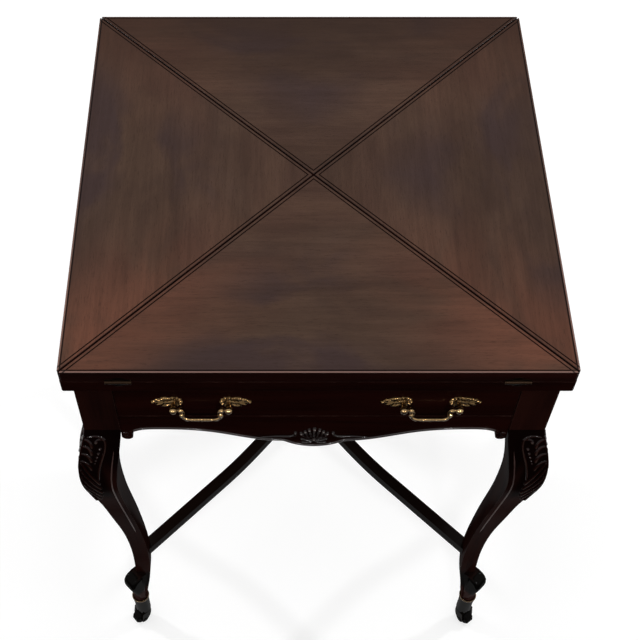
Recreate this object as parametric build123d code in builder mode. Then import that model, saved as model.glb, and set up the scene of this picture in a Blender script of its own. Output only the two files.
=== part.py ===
from build123d import *
import os
from math import sqrt

# Envelope card table. Its square top turns on a central bolt, and its four triangular leaves then fold
# out over the corners of the frame. The frame has a drawer, shaped aprons, cabriole legs with scroll
# toes on casters, and an arched cross stretcher. Millimetres, origin on the floor under the centre,
# +Z up, front towards -Y.

root_two = sqrt(2)
quarter_turn = 90
front, right_side, back, left_side = 0, quarter_turn, 2 * quarter_turn, 3 * quarter_turn
overrun = 2.0

# Closed top
table_height = 755.0
hinge_line_side = 540.0
edge_setback = 0.2
leaf_thickness = 18.0
bed_thickness = 18.0
seam_gap = 0.4
leaf_gap = 1.4
swivel_gap = 0.6
leaf_tip_radius = 1.0
bed_corner_radius = 3.0
edge_softening = 0.8
quirk_edge_inset = 2.4
quirk_side_inset = 3.3
quirk_width = 1.1
quirk_depth = 0.9

half_line = hinge_line_side / 2
top_half = half_line - edge_setback
leaf_bottom = table_height - leaf_thickness
hinge_height = leaf_bottom - seam_gap / 2
bed_top = leaf_bottom - seam_gap
bed_bottom = bed_top - bed_thickness
frame_top = bed_bottom - swivel_gap

# Baize
baize_thickness = 0.8
baize_recess = 1.0
baize_hinge_margin = 16.0
baize_outer_margin = 34.0
baize_clearance = 0.1

# Edge hinges of the leaves
hinge_from_corner = 62.0
hinge_half_length = 14.0
hinge_tab_half = 5.0
hinge_tab_height = 8.0
hinge_wing_root = 5.8
hinge_wing_tip = 4.2
hinge_plate_thickness = 2.0
knuckle_radius = 2.4
knuckle_clearance = 0.25
knuckle_half = 5.5
knuckle_end_gap = 0.15
pin_radius = 1.0
pin_fit = 0.04

hinge_offset = half_line - hinge_from_corner

# Pivot of the top
pivot_plate_radius = 35.0
pivot_plate_thickness = 3.0
pivot_screw_circle = 25.0
pivot_screw_radius = 2.0
pivot_screw_head = 3.6
pivot_screw_length = 12.0
bolt_head_radius = 11.0
bolt_head_thickness = 3.0
bolt_radius = 7.0
bolt_fit = 0.05
bolt_thread_radius = 5.0
bolt_thread_length = 9.5
bush_wall = 4.0
bush_fit = 0.02
washer_radius = 18.0
washer_thickness = 1.5
washer_gap = 0.2
nut_across_flats_half = 8.0
nut_height = 6.0
recess_fit = 0.1
stop_circle = 90.0
stop_peg_radius = 4.0
stop_peg_seat = 8.0
stop_clearance = 0.3
stop_groove_depth = 9.0
stop_peg_gap = 0.8
stop_start_angle = 100
swivel_angle = 45

# Frame
overhang = 10.0
block_side = 40.5
block_drop = 100.0
rail_setback = 2.0
rail_thickness = 20.0
sill_drop = 73.0
tenon_thickness = 8.0
tenon_length = 14.0
tenon_shoulder = 8.0
sill_tenon_shoulder = 4.0
joint_clearance = 0.05
top_rail_thickness = 14.0
top_rail_depth = 26.0
top_rail_tenon_width = 16.0
sub_top_thickness = 12.0
glue_block_side = 13.0
glue_block_length = 60.0
glue_block_share = 0.5

block_outer = half_line - overhang
block_inner = block_outer - block_side
block_bottom = frame_top - block_drop
rail_face = block_outer - rail_setback
rail_back = rail_face - rail_thickness
rail_middle = rail_face - rail_thickness / 2
sill_height = frame_top - sill_drop
sub_top_bottom = frame_top - sub_top_thickness
top_rail_bottom = frame_top - top_rail_thickness

# Lower edge of the aprons: shares of half the apron's length, and of the depth from arch to lobe
arch_drop = 100.5
lobe_drop = 140.3
bead_width = 3.2
bead_stand = 1.2
lobe_cusp_share = (0.16, 0.67)
apron_wave_shares = (
    (0.16, 0.67),
    (0.26, 0.62),
    (0.39, 0.41),
    (0.52, 0.17),
    (0.66, 0.03),
    (0.80, 0.0),
    (0.90, 0.06),
    (0.957, 0.27),
)
ear_middle_share = (0.977, 0.58)
ear_end_share = (1.0, 0.44)

# Leg outlines: shares of the height from the foot to the block, and of the knee's swell or the inner sweep
knee_swell = 15.0
leg_sweep = 15.0
leg_outer_shares = (
    (1.0, 0.0),
    (0.967, 0.22),
    (0.918, 0.68),
    (0.849, 1.0),
    (0.784, 0.95),
    (0.725, 0.64),
    (0.646, 0.18),
    (0.545, -0.26),
    (0.441, -0.7),
    (0.336, -0.97),
    (0.254, -1.03),
    (0.172, -0.98),
    (0.079, -0.88),
    (0.0, -0.52),
)
leg_inner_shares = (
    (1.0, 0.0),
    (0.967, 0.08),
    (0.918, 0.36),
    (0.849, 0.76),
    (0.784, 0.98),
    (0.72, 1.0),
    (0.639, 0.9),
    (0.534, 0.63),
    (0.417, 0.38),
    (0.312, 0.23),
    (0.231, 0.22),
    (0.161, 0.35),
    (0.079, 0.72),
    (0.033, 0.98),
    (0.0, 1.1),
)

# Scroll toe, in the leg's diagonal plane, and the turned foot under it
foot_inset = 13.0
foot_radius = 10.2
foot_bottom = 86.0
foot_top = 104.0
spigot_radius = 9.35
spigot_length = 49.1
toe_width = 20.0
toe_reach = 14.8
toe_rise = 73.5
toe_foot_gap = 3.8
leg_foot_gap = 1.8
toe_back_share = -0.9
toe_crown_share = (0.38, -0.037)
toe_tip_share = (1.02, 0.207)
toe_nose_share = (0.98, 0.098)
toe_under_share = (0.92, 0.366)
toe_low_share = (0.3, 1.0)

foot_axis = block_outer - foot_inset
foot_diagonal = foot_axis * root_two
toe_height = foot_bottom + toe_rise
toe_depth = toe_rise - toe_foot_gap
leg_base = foot_bottom + leg_foot_gap
leg_height = block_bottom - leg_base

# Casters
cup_wall = 1.7
cup_collar = 0.5
cup_collar_height = 14.0
cup_fit = 0.05
cup_floor = 2.6
cup_seat_gap = 0.2
cup_bevel = 1.5
pintle_radius = 2.5
pintle_fit = 0.05
pintle_head_radius = 4.0
pintle_head_height = 2.2
pintle_head_gap = 0.2
crown_gap = 0.4
crown_thickness = 5.5
horn_width = 22.0
horn_front_reach = 9.0
horn_front_rounding = 7.5
horn_end_radius = 5.5
wheel_radius = 12.5
wheel_width = 14.6
wheel_bevel = 2.5
wheel_side_gap = 0.5
caster_trail = 7.0
axle_radius = 2.0
axle_fit = 0.04
axle_seat = 0.02
axle_head_radius = 3.4
axle_head_height = 0.8
caster_headings = {"front_right": -52, "back_right": 70, "back_left": 115, "front_left": -140}

spigot_bottom = foot_bottom - spigot_length
cup_inner = spigot_radius + cup_fit
cup_outer = cup_inner + cup_wall
cup_inside_floor = spigot_bottom - cup_seat_gap
cup_bottom = cup_inside_floor - cup_floor
crown_top = cup_bottom - crown_gap
crown_bottom = crown_top - crown_thickness
horn_slot = wheel_width + 2 * wheel_side_gap

# Cross stretcher: shares of the half length
stretcher_width = 16.0
stretcher_depth = 16.0
stretcher_top = 222.5
stretcher_rise = 30.0
stretcher_flat_share = 0.54
stretcher_turn_shares = (0.27, 0.45)
stretcher_seat_share = 0.22
dowel_radius = 4.0
dowel_length = 18.0
dowel_end_gap = 0.5
leg_corner_reach = 12.0

# Drawer
drawer_front_gap = 0.6
runner_gap = 0.3
drawer_side_thickness = 9.0
drawer_side_height = 51.5
drawer_back_gap = 33.0
drawer_back_thickness = 10.0
drawer_back_margin = 4.0
drawer_floor_thickness = 5.0
drawer_floor_rise = 3.0
drawer_groove = 4.0
drawer_back_height = 35.0
tail_length = 11.0
tail_heights = (11.5, 27.5, 43.5)
tail_height = 9.0
tail_flare = 1.6
runner_thickness = 12.0
runner_ledge = 19.5
guide_height = 20.0
stop_block_height = 15.0
stop_block_length = 20.0
stop_block_width = 12.0
stop_block_gap = 0.4
block_clearance = 0.5

drawer_bottom = sill_height + runner_gap
drawer_end = rail_back - drawer_back_gap
drawer_half = block_inner - drawer_front_gap
runner_inner = block_inner - runner_ledge
drawer_side_inner = drawer_half - drawer_side_thickness
drawer_floor_bottom = drawer_bottom + drawer_floor_rise
drawer_floor_top = drawer_floor_bottom + drawer_floor_thickness
drawer_back_face = drawer_end - drawer_back_margin

# Bail handles
handle_from_block = 94.5
handle_drop = 40.5
post_half_span = 30.0
post_shank_radius = 2.5
post_ball_radius = 4.5
post_reach = 9.4
shank_fit = 0.05
rose_thickness = 2.0
rose_length = 32.0
rose_height = 17.0
rose_boss_radius = 5.5
rose_boss_height = 1.2
rose_tip_share = (0.735, 0.0)
rose_heel_share = (-0.27, 0.0)
rose_outline_shares = (
    (0.69, 0.12),
    (0.6, 0.09),
    (0.52, 0.31),
    (0.41, 0.4),
    (0.33, 0.29),
    (0.22, 0.48),
    (0.05, 0.53),
    (-0.12, 0.45),
    (-0.23, 0.25),
)
post_nut_radius = 4.5
post_nut_height = 3.5
post_end_length = 4.5
bail_pin_radius = 1.5
bail_pin_fit = 0.09
bail_radius = 2.0
bail_collar_radius = 3.0
bail_collar_length = 2.0
bail_start = 25.0
bail_pin_end = 28.8
bail_drop = 20.0
bail_route_shares = ((1.0, 0.0), (0.85, 0.0), (0.82, 0.6), (0.60, 1.0))
bail_bend = 2.8
bail_ornament_shares = ((1.0, 0.6), (0.8, 0.9), (0.6, 0.6), (0.4, 0.9), (0.25, 0.6), (0.0, 1.2))
bail_ornament_half = 11.0

handle_offset = block_inner - handle_from_block
handle_height = frame_top - handle_drop
bail_axis_reach = rail_face + rose_thickness + post_reach
post_neck = sqrt(post_ball_radius * post_ball_radius - post_shank_radius * post_shank_radius)

os.makedirs("parts", exist_ok=True)


def finish(builder, label):
    builder.part.label = label
    export_step(builder.part, "parts/" + label + ".step")


corners = (
    ("front_right", front, 1, -1),
    ("back_right", right_side, 1, 1),
    ("back_left", back, -1, 1),
    ("front_left", left_side, -1, -1),
)
sides = (("front", front), ("right", right_side), ("back", back), ("left", left_side))
hinge_places = [(x, -half_line, hinge_height) for x in (-hinge_offset, hinge_offset)]


# Plan of the front leaf, drawn in from its outer edge and from its two diagonal edges
def leaf_corners(edge_inset, side_inset):
    edge = top_half - edge_inset
    diagonal = (leaf_gap / 2 + side_inset) * root_two
    return (diagonal - edge, -edge), (edge - diagonal, -edge), (0, -diagonal)


# A hinge plate seen on the table's edge; up is 1 on a leaf and -1 on the bed
def hinge_plate_face(x, up):
    edge_plane = Plane(origin=(x, -top_half, hinge_height), x_dir=(1, 0, 0), z_dir=(0, -1, 0))
    with BuildSketch(edge_plane) as plate:
        with BuildLine():
            Polyline(
                (-hinge_half_length, up * seam_gap / 2),
                (-hinge_half_length, up * hinge_wing_tip),
                (-hinge_tab_half, up * hinge_wing_root),
                (-hinge_tab_half, up * hinge_tab_height),
                (hinge_tab_half, up * hinge_tab_height),
                (hinge_tab_half, up * hinge_wing_root),
                (hinge_half_length, up * hinge_wing_tip),
                (hinge_half_length, up * seam_gap / 2),
                close=True,
            )
        make_face()
    return plate.sketch


def cut_hinge_seats(up):
    for x, _, _ in hinge_places:
        extrude(hinge_plate_face(x, up), amount=-hinge_plate_thickness, mode=Mode.SUBTRACT)
    with Locations(*hinge_places):
        Cylinder(
            knuckle_radius + knuckle_clearance,
            2 * (hinge_half_length + knuckle_end_gap),
            rotation=(0, quarter_turn, 0),
            mode=Mode.SUBTRACT,
        )


def outer_knuckle_places(centre):
    x, y, z = centre
    shift = (hinge_half_length + knuckle_half + knuckle_end_gap) / 2
    return [(x - shift, y, z), (x + shift, y, z)]


outer_knuckle_length = hinge_half_length - knuckle_half - knuckle_end_gap
all_outer_knuckles = [place for centre in hinge_places for place in outer_knuckle_places(centre)]


def bore_hinges():
    with Locations(*hinge_places):
        Cylinder(
            pin_radius + pin_fit,
            2 * hinge_half_length + overrun,
            rotation=(0, quarter_turn, 0),
            mode=Mode.SUBTRACT,
        )


# Leaf, with its quirked bead, baize recess and hinge seats
with BuildPart() as leaf_form:
    with BuildSketch(Plane.XY.offset(leaf_bottom)):
        with BuildLine():
            Polyline(*leaf_corners(0, 0), close=True)
        make_face()
    extrude(amount=leaf_thickness)
    fillet(leaf_form.edges().filter_by(Axis.Z).sort_by(Axis.Y)[:2], leaf_tip_radius)
    fillet(leaf_form.faces().sort_by(Axis.Z)[-1].outer_wire().edges(), edge_softening)
    with BuildSketch(Plane.XY.offset(table_height)):
        with BuildLine():
            Polyline(*leaf_corners(quirk_edge_inset, quirk_side_inset), close=True)
        make_face()
        with BuildLine():
            Polyline(
                *leaf_corners(quirk_edge_inset + quirk_width, quirk_side_inset + quirk_width),
                close=True,
            )
        make_face(mode=Mode.SUBTRACT)
    extrude(amount=-quirk_depth, mode=Mode.SUBTRACT)
    with BuildSketch(Plane.XY.offset(leaf_bottom)):
        with BuildLine():
            Polyline(*leaf_corners(baize_hinge_margin, baize_outer_margin), close=True)
        make_face()
    extrude(amount=baize_recess, mode=Mode.SUBTRACT)
    cut_hinge_seats(1)

with BuildPart() as leaf_baize_form:
    with BuildSketch(Plane.XY.offset(leaf_bottom + baize_recess)):
        with BuildLine():
            Polyline(
                *leaf_corners(baize_hinge_margin + baize_clearance, baize_outer_margin + baize_clearance),
                close=True,
            )
        make_face()
    extrude(amount=-baize_thickness)

with BuildPart() as leaf_plate_form:
    for place_x, _, _ in hinge_places:
        extrude(hinge_plate_face(place_x, 1), amount=-hinge_plate_thickness)
    with Locations(*all_outer_knuckles):
        Cylinder(
            knuckle_radius + knuckle_clearance,
            outer_knuckle_length + 2 * knuckle_end_gap,
            rotation=(0, quarter_turn, 0),
            mode=Mode.SUBTRACT,
        )
    with Locations(*hinge_places):
        Cylinder(knuckle_radius, 2 * knuckle_half, rotation=(0, quarter_turn, 0))
    bore_hinges()

for side, turn in sides:
    with BuildPart() as leaf:
        add(leaf_form.part, rotation=(0, 0, turn))
    finish(leaf, "leaf_" + side)
    with BuildPart() as leaf_baize:
        add(leaf_baize_form.part, rotation=(0, 0, turn))
    finish(leaf_baize, "leaf_" + side + "_baize")
    with BuildPart() as leaf_plates:
        add(leaf_plate_form.part, rotation=(0, 0, turn))
    finish(leaf_plates, "leaf_" + side + "_hinge_plates")

# Bed: the turning board that carries the leaves
with BuildPart() as bed_blank:
    with BuildSketch(Plane.XY.offset(bed_bottom)):
        RectangleRounded(2 * top_half, 2 * top_half, bed_corner_radius)
    extrude(amount=bed_thickness)
    cut_hinge_seats(-1)

with BuildPart() as bed_board:
    for _, turn in sides:
        add(bed_blank.part, rotation=(0, 0, turn), mode=Mode.ADD if turn == front else Mode.INTERSECT)
    with BuildSketch(Plane.XY.offset(bed_top)):
        Rectangle(2 * (top_half - baize_hinge_margin), 2 * (top_half - baize_hinge_margin))
    extrude(amount=-baize_recess, mode=Mode.SUBTRACT)
    with BuildSketch(Plane.XY.offset(bed_bottom)):
        Circle(pivot_plate_radius + recess_fit)
    extrude(amount=pivot_plate_thickness, mode=Mode.SUBTRACT)
    with BuildSketch(Plane.XY.offset(bed_bottom + pivot_plate_thickness)):
        Circle(bolt_head_radius + recess_fit)
    extrude(amount=bolt_head_thickness, mode=Mode.SUBTRACT)
    with BuildSketch(Plane.XY.offset(bed_bottom)):
        with PolarLocations(pivot_screw_circle, 4, start_angle=swivel_angle):
            Circle(pivot_screw_radius)
    extrude(amount=pivot_screw_length + recess_fit, mode=Mode.SUBTRACT)
    with BuildSketch(Plane.XY.offset(bed_bottom)):
        with PolarLocations(stop_circle, 1, start_angle=stop_start_angle):
            Circle(stop_peg_radius)
    extrude(amount=stop_peg_seat, mode=Mode.SUBTRACT)
finish(bed_board, "bed_board")

with BuildPart() as bed_baize:
    with BuildSketch(Plane.XY.offset(bed_top - baize_recess)):
        Rectangle(
            2 * (top_half - baize_hinge_margin - baize_clearance),
            2 * (top_half - baize_hinge_margin - baize_clearance),
        )
    extrude(amount=baize_thickness)
finish(bed_baize, "bed_baize")

with BuildPart() as bed_plate_form:
    for place_x, _, _ in hinge_places:
        extrude(hinge_plate_face(place_x, -1), amount=-hinge_plate_thickness)
    with Locations(*hinge_places):
        Cylinder(
            knuckle_radius + knuckle_clearance,
            2 * (knuckle_half + knuckle_end_gap),
            rotation=(0, quarter_turn, 0),
            mode=Mode.SUBTRACT,
        )
    with Locations(*all_outer_knuckles):
        Cylinder(knuckle_radius, outer_knuckle_length, rotation=(0, quarter_turn, 0))
    bore_hinges()

with BuildPart() as bed_hinge_plates:
    for _, turn in sides:
        add(bed_plate_form.part, rotation=(0, 0, turn))
finish(bed_hinge_plates, "bed_hinge_plates")

with BuildPart() as pin_form:
    with Locations(*hinge_places):
        Cylinder(pin_radius, 2 * hinge_half_length, rotation=(0, quarter_turn, 0))

with BuildPart() as hinge_pins:
    for _, turn in sides:
        add(pin_form.part, rotation=(0, 0, turn))
finish(hinge_pins, "hinge_pins")

# Pivot of the top: plate and bolt under the bed, bush in the sub-top, washer and nut under it
bolt_shoulder = sub_top_bottom - washer_gap
with BuildPart() as pivot_plate:
    with BuildSketch(Plane.XY.offset(bed_bottom)):
        Circle(pivot_plate_radius)
        Circle(bolt_radius, mode=Mode.SUBTRACT)
        with PolarLocations(pivot_screw_circle, 4, start_angle=swivel_angle):
            Circle(pivot_screw_head, mode=Mode.SUBTRACT)
    extrude(amount=pivot_plate_thickness)
finish(pivot_plate, "pivot_plate")

with BuildPart() as pivot_screws:
    with BuildSketch(Plane.XY.offset(bed_bottom)):
        with PolarLocations(pivot_screw_circle, 4, start_angle=swivel_angle):
            Circle(pivot_screw_head)
    extrude(amount=pivot_plate_thickness)
    with BuildSketch(Plane.XY.offset(bed_bottom)):
        with PolarLocations(pivot_screw_circle, 4, start_angle=swivel_angle):
            Circle(pivot_screw_radius)
    extrude(amount=pivot_screw_length)
finish(pivot_screws, "pivot_screws")

with BuildPart() as pivot_bolt:
    with BuildSketch(Plane.XY.offset(bed_bottom + pivot_plate_thickness)):
        Circle(bolt_head_radius)
    extrude(amount=bolt_head_thickness)
    with BuildSketch(Plane.XY.offset(bolt_shoulder)):
        Circle(bolt_radius)
    extrude(amount=bed_bottom + pivot_plate_thickness - bolt_shoulder)
    with BuildSketch(Plane.XY.offset(bolt_shoulder)):
        Circle(bolt_thread_radius)
    extrude(amount=-bolt_thread_length)
finish(pivot_bolt, "pivot_bolt")

with BuildPart() as pivot_bush:
    with BuildSketch(Plane.XY.offset(sub_top_bottom)):
        Circle(bolt_radius + bolt_fit + bush_wall)
        Circle(bolt_radius + bolt_fit, mode=Mode.SUBTRACT)
    extrude(amount=sub_top_thickness)
finish(pivot_bush, "pivot_bush")

with BuildPart() as pivot_washer:
    with BuildSketch(Plane.XY.offset(bolt_shoulder)):
        Circle(washer_radius)
        Circle(bolt_thread_radius, mode=Mode.SUBTRACT)
    extrude(amount=-washer_thickness)
finish(pivot_washer, "pivot_washer")

with BuildPart() as pivot_nut:
    with BuildSketch(Plane.XY.offset(bolt_shoulder - washer_thickness)):
        RegularPolygon(nut_across_flats_half, 6, major_radius=False)
        Circle(bolt_thread_radius, mode=Mode.SUBTRACT)
    extrude(amount=-nut_height)
finish(pivot_nut, "pivot_nut")

groove_bottom = frame_top - stop_groove_depth
with BuildPart() as stop_peg:
    with BuildSketch(Plane.XY.offset(groove_bottom + stop_peg_gap)):
        with PolarLocations(stop_circle, 1, start_angle=stop_start_angle):
            Circle(stop_peg_radius)
    extrude(amount=bed_bottom + stop_peg_seat - groove_bottom - stop_peg_gap)
finish(stop_peg, "stop_peg")

with BuildPart() as sub_top:
    with BuildSketch(Plane.XY.offset(sub_top_bottom)):
        with BuildLine():
            Polyline(
                (-block_inner, top_rail_depth - rail_face),
                (block_inner, top_rail_depth - rail_face),
                (block_inner, -block_inner),
                (rail_back, -block_inner),
                (rail_back, block_inner),
                (block_inner, block_inner),
                (block_inner, rail_back),
                (-block_inner, rail_back),
                (-block_inner, block_inner),
                (-rail_back, block_inner),
                (-rail_back, -block_inner),
                (-block_inner, -block_inner),
                close=True,
            )
        make_face()
        Circle(bolt_radius + bolt_fit + bush_wall + bush_fit, mode=Mode.SUBTRACT)
    extrude(amount=sub_top_thickness)
    with BuildSketch(Plane.XY.offset(frame_top)):
        SlotArc(
            CenterArc((0, 0), stop_circle, stop_start_angle, swivel_angle),
            2 * (stop_peg_radius + stop_clearance),
        )
    extrude(amount=-stop_groove_depth, mode=Mode.SUBTRACT)
finish(sub_top, "sub_top")


# Mortises and tenons of the frame: (low, high) heights of each tenon
tall_tenon = (block_bottom + tenon_shoulder, frame_top - tenon_shoulder)
sill_tenon = (block_bottom + sill_tenon_shoulder, sill_height - sill_tenon_shoulder)
top_rail_tenon = (top_rail_bottom + sill_tenon_shoulder, frame_top - sill_tenon_shoulder)
top_rail_middle = rail_face - top_rail_depth / 2


def tenon(span, thickness, place, turn, clearance, mode):
    low, high = span
    length = tenon_length + clearance
    across = (place[0], place[1], (low + high) / 2)
    with Locations(Location(across, (0, 0, turn))):
        Box(
            length,
            thickness + 2 * clearance,
            high - low + 2 * clearance,
            align=(Align.MIN, Align.CENTER, Align.CENTER),
            mode=mode,
        )


# Shaped lower edge of an apron, seen from the front, raised by lift
def apron_face(upper_edge, lift):
    depth = lobe_drop - arch_drop
    arch_height = frame_top - arch_drop + lift

    def at(share, hand):
        return hand * share[0] * block_inner, arch_height - share[1] * depth

    with BuildSketch(Plane.XZ.offset(rail_face)) as face:
        with BuildLine():
            ThreePointArc(
                at(lobe_cusp_share, -1), (0, frame_top - lobe_drop + lift), at(lobe_cusp_share, 1)
            )
            for hand in (-1, 1):
                Spline(*[at(share, hand) for share in apron_wave_shares])
                ThreePointArc(
                    at(apron_wave_shares[-1], hand), at(ear_middle_share, hand), at(ear_end_share, hand)
                )
            Polyline(
                at(ear_end_share, 1),
                (block_inner, upper_edge),
                (-block_inner, upper_edge),
                at(ear_end_share, -1),
            )
        make_face()
    return face.sketch


def apron(upper_edge, tenon_span):
    with BuildPart() as board:
        extrude(apron_face(upper_edge, 0), amount=-rail_thickness)
        extrude(apron_face(upper_edge, 0), amount=bead_stand)
        extrude(apron_face(upper_edge, bead_width), amount=bead_stand, mode=Mode.SUBTRACT)
        with BuildSketch(Plane.XZ.offset(rail_face)):
            with Locations((0, upper_edge)):
                Rectangle(2 * block_inner, bead_width, align=(Align.CENTER, Align.MAX))
        extrude(amount=bead_stand, mode=Mode.SUBTRACT)
        tenon(tenon_span, tenon_thickness, (block_inner, -rail_middle), 0, 0, Mode.ADD)
        tenon(tenon_span, tenon_thickness, (-block_inner, -rail_middle), back, 0, Mode.ADD)
    return board.part


with BuildPart() as front_apron:
    add(apron(sill_height, sill_tenon))
finish(front_apron, "front_apron")

for side, turn in sides[1:]:
    with BuildPart() as side_apron:
        add(apron(frame_top, tall_tenon), rotation=(0, 0, turn))
    finish(side_apron, side + "_apron")

with BuildPart() as front_top_rail:
    with BuildSketch(Plane.XY.offset(top_rail_bottom)):
        with Locations((0, -rail_face)):
            Rectangle(2 * block_inner, top_rail_depth, align=(Align.CENTER, Align.MIN))
    extrude(amount=top_rail_thickness)
    tenon(top_rail_tenon, top_rail_tenon_width, (block_inner, -top_rail_middle), 0, 0, Mode.ADD)
    tenon(top_rail_tenon, top_rail_tenon_width, (-block_inner, -top_rail_middle), back, 0, Mode.ADD)
finish(front_top_rail, "front_top_rail")


# One view of the leg; the leg is what two such views, sawn at right angles, have in common
def leg_view(plane):
    outer = [(block_outer + knee_swell * u, leg_base + leg_height * h) for h, u in leg_outer_shares]
    inner = [(block_inner + leg_sweep * u, leg_base + leg_height * h) for h, u in leg_inner_shares]
    with BuildSketch(plane) as view:
        with BuildLine():
            Spline(*outer)
            Line(outer[-1], inner[-1])
            Spline(*inner)
            Polyline(inner[0], (block_inner, frame_top), (block_outer, frame_top), outer[0])
        make_face()
    return view.sketch


front_view = Plane.XZ
side_view = Plane(origin=(0, 0, 0), x_dir=(0, -1, 0), z_dir=(-1, 0, 0))
diagonal_view = Plane(origin=(0, 0, 0), x_dir=(1, -1, 0), z_dir=(-1, -1, 0))
leg_reach = block_outer + knee_swell + overrun


def toe_point(share):
    return foot_diagonal + toe_reach * share[0], toe_height - toe_depth * share[1]


with BuildPart() as leg_form:
    extrude(leg_view(front_view), amount=leg_reach)
    extrude(leg_view(side_view), amount=-leg_reach, mode=Mode.INTERSECT)
    with BuildSketch(diagonal_view):
        with BuildLine():
            crown = ThreePointArc(
                toe_point((toe_back_share, 0)), toe_point(toe_crown_share), toe_point(toe_nose_share)
            )
            ThreePointArc(crown @ 1, toe_point(toe_tip_share), toe_point(toe_under_share))
            Polyline(
                toe_point(toe_under_share),
                toe_point(toe_low_share),
                toe_point((0, toe_low_share[1])),
                toe_point((toe_back_share, 0)),
            )
        make_face()
    extrude(amount=toe_width / 2, both=True)
    with BuildSketch(Plane.XY.offset(foot_bottom)):
        with Locations((foot_axis, -foot_axis)):
            Circle(foot_radius)
    extrude(amount=foot_top - foot_bottom)
    with BuildSketch(Plane.XY.offset(spigot_bottom)):
        with Locations((foot_axis, -foot_axis)):
            Circle(spigot_radius)
    extrude(amount=spigot_length)

# Dowels of the stretcher enter each leg along its diagonal
stretcher_middle = stretcher_top - stretcher_depth / 2
leg_corner = (block_inner + leg_sweep * stretcher_seat_share) * root_two
dowel_plane = Plane(
    origin=(leg_corner / root_two, -leg_corner / root_two, stretcher_middle),
    x_dir=(0, 0, 1),
    z_dir=(1, -1, 0),
)

with BuildPart() as bored_leg:
    add(leg_form.part)
    with BuildSketch(dowel_plane.offset(-leg_corner_reach)):
        Circle(dowel_radius + joint_clearance)
    extrude(amount=leg_corner_reach + dowel_length + dowel_end_gap, mode=Mode.SUBTRACT)

for corner, turn, x_hand, y_hand in corners:
    with BuildPart() as leg:
        add(bored_leg.part, rotation=(0, 0, turn))
        toward_side = quarter_turn * y_hand
        toward_end = front if x_hand > 0 else back
        side_place = (x_hand * rail_middle, y_hand * block_inner)
        end_place = (x_hand * block_inner, y_hand * rail_middle)
        tenon(tall_tenon, tenon_thickness, side_place, toward_side, joint_clearance, Mode.SUBTRACT)
        if y_hand > 0:
            tenon(tall_tenon, tenon_thickness, end_place, toward_end, joint_clearance, Mode.SUBTRACT)
        else:
            rail_place = (x_hand * block_inner, y_hand * top_rail_middle)
            tenon(sill_tenon, tenon_thickness, end_place, toward_end, joint_clearance, Mode.SUBTRACT)
            tenon(
                top_rail_tenon, top_rail_tenon_width, rail_place, toward_end, joint_clearance, Mode.SUBTRACT
            )
    finish(leg, "leg_" + corner)

# Cross stretcher: two arched members, halved together at the centre
stretcher_half = leg_corner + leg_corner_reach
stretcher_knee = stretcher_flat_share * leg_corner
lap_height = stretcher_top + stretcher_rise - stretcher_depth / 2


def stretcher_edge(height, hand):
    turn_d, turn_rise = stretcher_turn_shares[0] * leg_corner, stretcher_turn_shares[1] * stretcher_rise
    Spline(
        (hand * stretcher_knee, height),
        (hand * turn_d, height + turn_rise),
        (0, height + stretcher_rise),
        tangents=[(-hand, 0), (-hand, 0)],
    )
    Line((hand * stretcher_knee, height), (hand * stretcher_half, height))


def stretcher(plane, lap_up, leg_turns):
    lower = stretcher_top - stretcher_depth
    with BuildPart() as member:
        with BuildSketch(plane):
            with BuildLine():
                for hand in (-1, 1):
                    stretcher_edge(stretcher_top, hand)
                    stretcher_edge(lower, hand)
                    Line((hand * stretcher_half, lower), (hand * stretcher_half, stretcher_top))
            make_face()
        extrude(amount=stretcher_width / 2, both=True)
        with BuildSketch(plane):
            with Locations((0, lap_height)):
                Rectangle(
                    stretcher_width,
                    stretcher_depth,
                    align=(Align.CENTER, Align.MIN if lap_up else Align.MAX),
                )
        extrude(amount=stretcher_width / 2 + overrun, both=True, mode=Mode.SUBTRACT)
        for turn in leg_turns:
            add(leg_form.part, rotation=(0, 0, turn), mode=Mode.SUBTRACT)
        dowel_inner = leg_corner - leg_corner_reach
        with BuildSketch(plane):
            with Locations((dowel_inner, stretcher_middle)):
                Rectangle(leg_corner_reach + dowel_length, dowel_radius, align=(Align.MIN, Align.MIN))
            with Locations((-dowel_inner, stretcher_middle)):
                Rectangle(leg_corner_reach + dowel_length, dowel_radius, align=(Align.MAX, Align.MIN))
        revolve(axis=Axis((0, 0, stretcher_middle), tuple(plane.x_dir)))
    return member.part


rising_plane = Plane(origin=(0, 0, 0), x_dir=(1, 1, 0), z_dir=(1, -1, 0))
with BuildPart() as stretcher_under:
    add(stretcher(rising_plane, True, (right_side, left_side)))
finish(stretcher_under, "stretcher_under")

with BuildPart() as stretcher_over:
    add(stretcher(diagonal_view, False, (front, back)))
finish(stretcher_over, "stretcher_over")

# Drawer runners with their guides, stops and the glue blocks of the sub-top
with BuildPart() as drawer_runners:
    for hand in (-1, 1):
        with BuildSketch(Plane.XY.offset(sill_height)):
            with BuildLine():
                Polyline(
                    (hand * runner_inner, -rail_back),
                    (hand * (block_inner - block_clearance), -rail_back),
                    (hand * (block_inner - block_clearance), block_clearance - block_inner),
                    (hand * rail_back, block_clearance - block_inner),
                    (hand * rail_back, block_inner - block_clearance),
                    (hand * (block_inner - block_clearance), block_inner - block_clearance),
                    (hand * (block_inner - block_clearance), rail_back),
                    (hand * runner_inner, rail_back),
                    close=True,
                )
            make_face()
    extrude(amount=-runner_thickness)
    with BuildSketch(Plane.XY.offset(sill_height)):
        for hand in (-1, 1):
            with Locations((hand * (block_inner + rail_back) / 2, 0)):
                Rectangle(rail_back - block_inner, 2 * (block_inner - block_clearance))
    extrude(amount=guide_height)
finish(drawer_runners, "drawer_runners")

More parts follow.
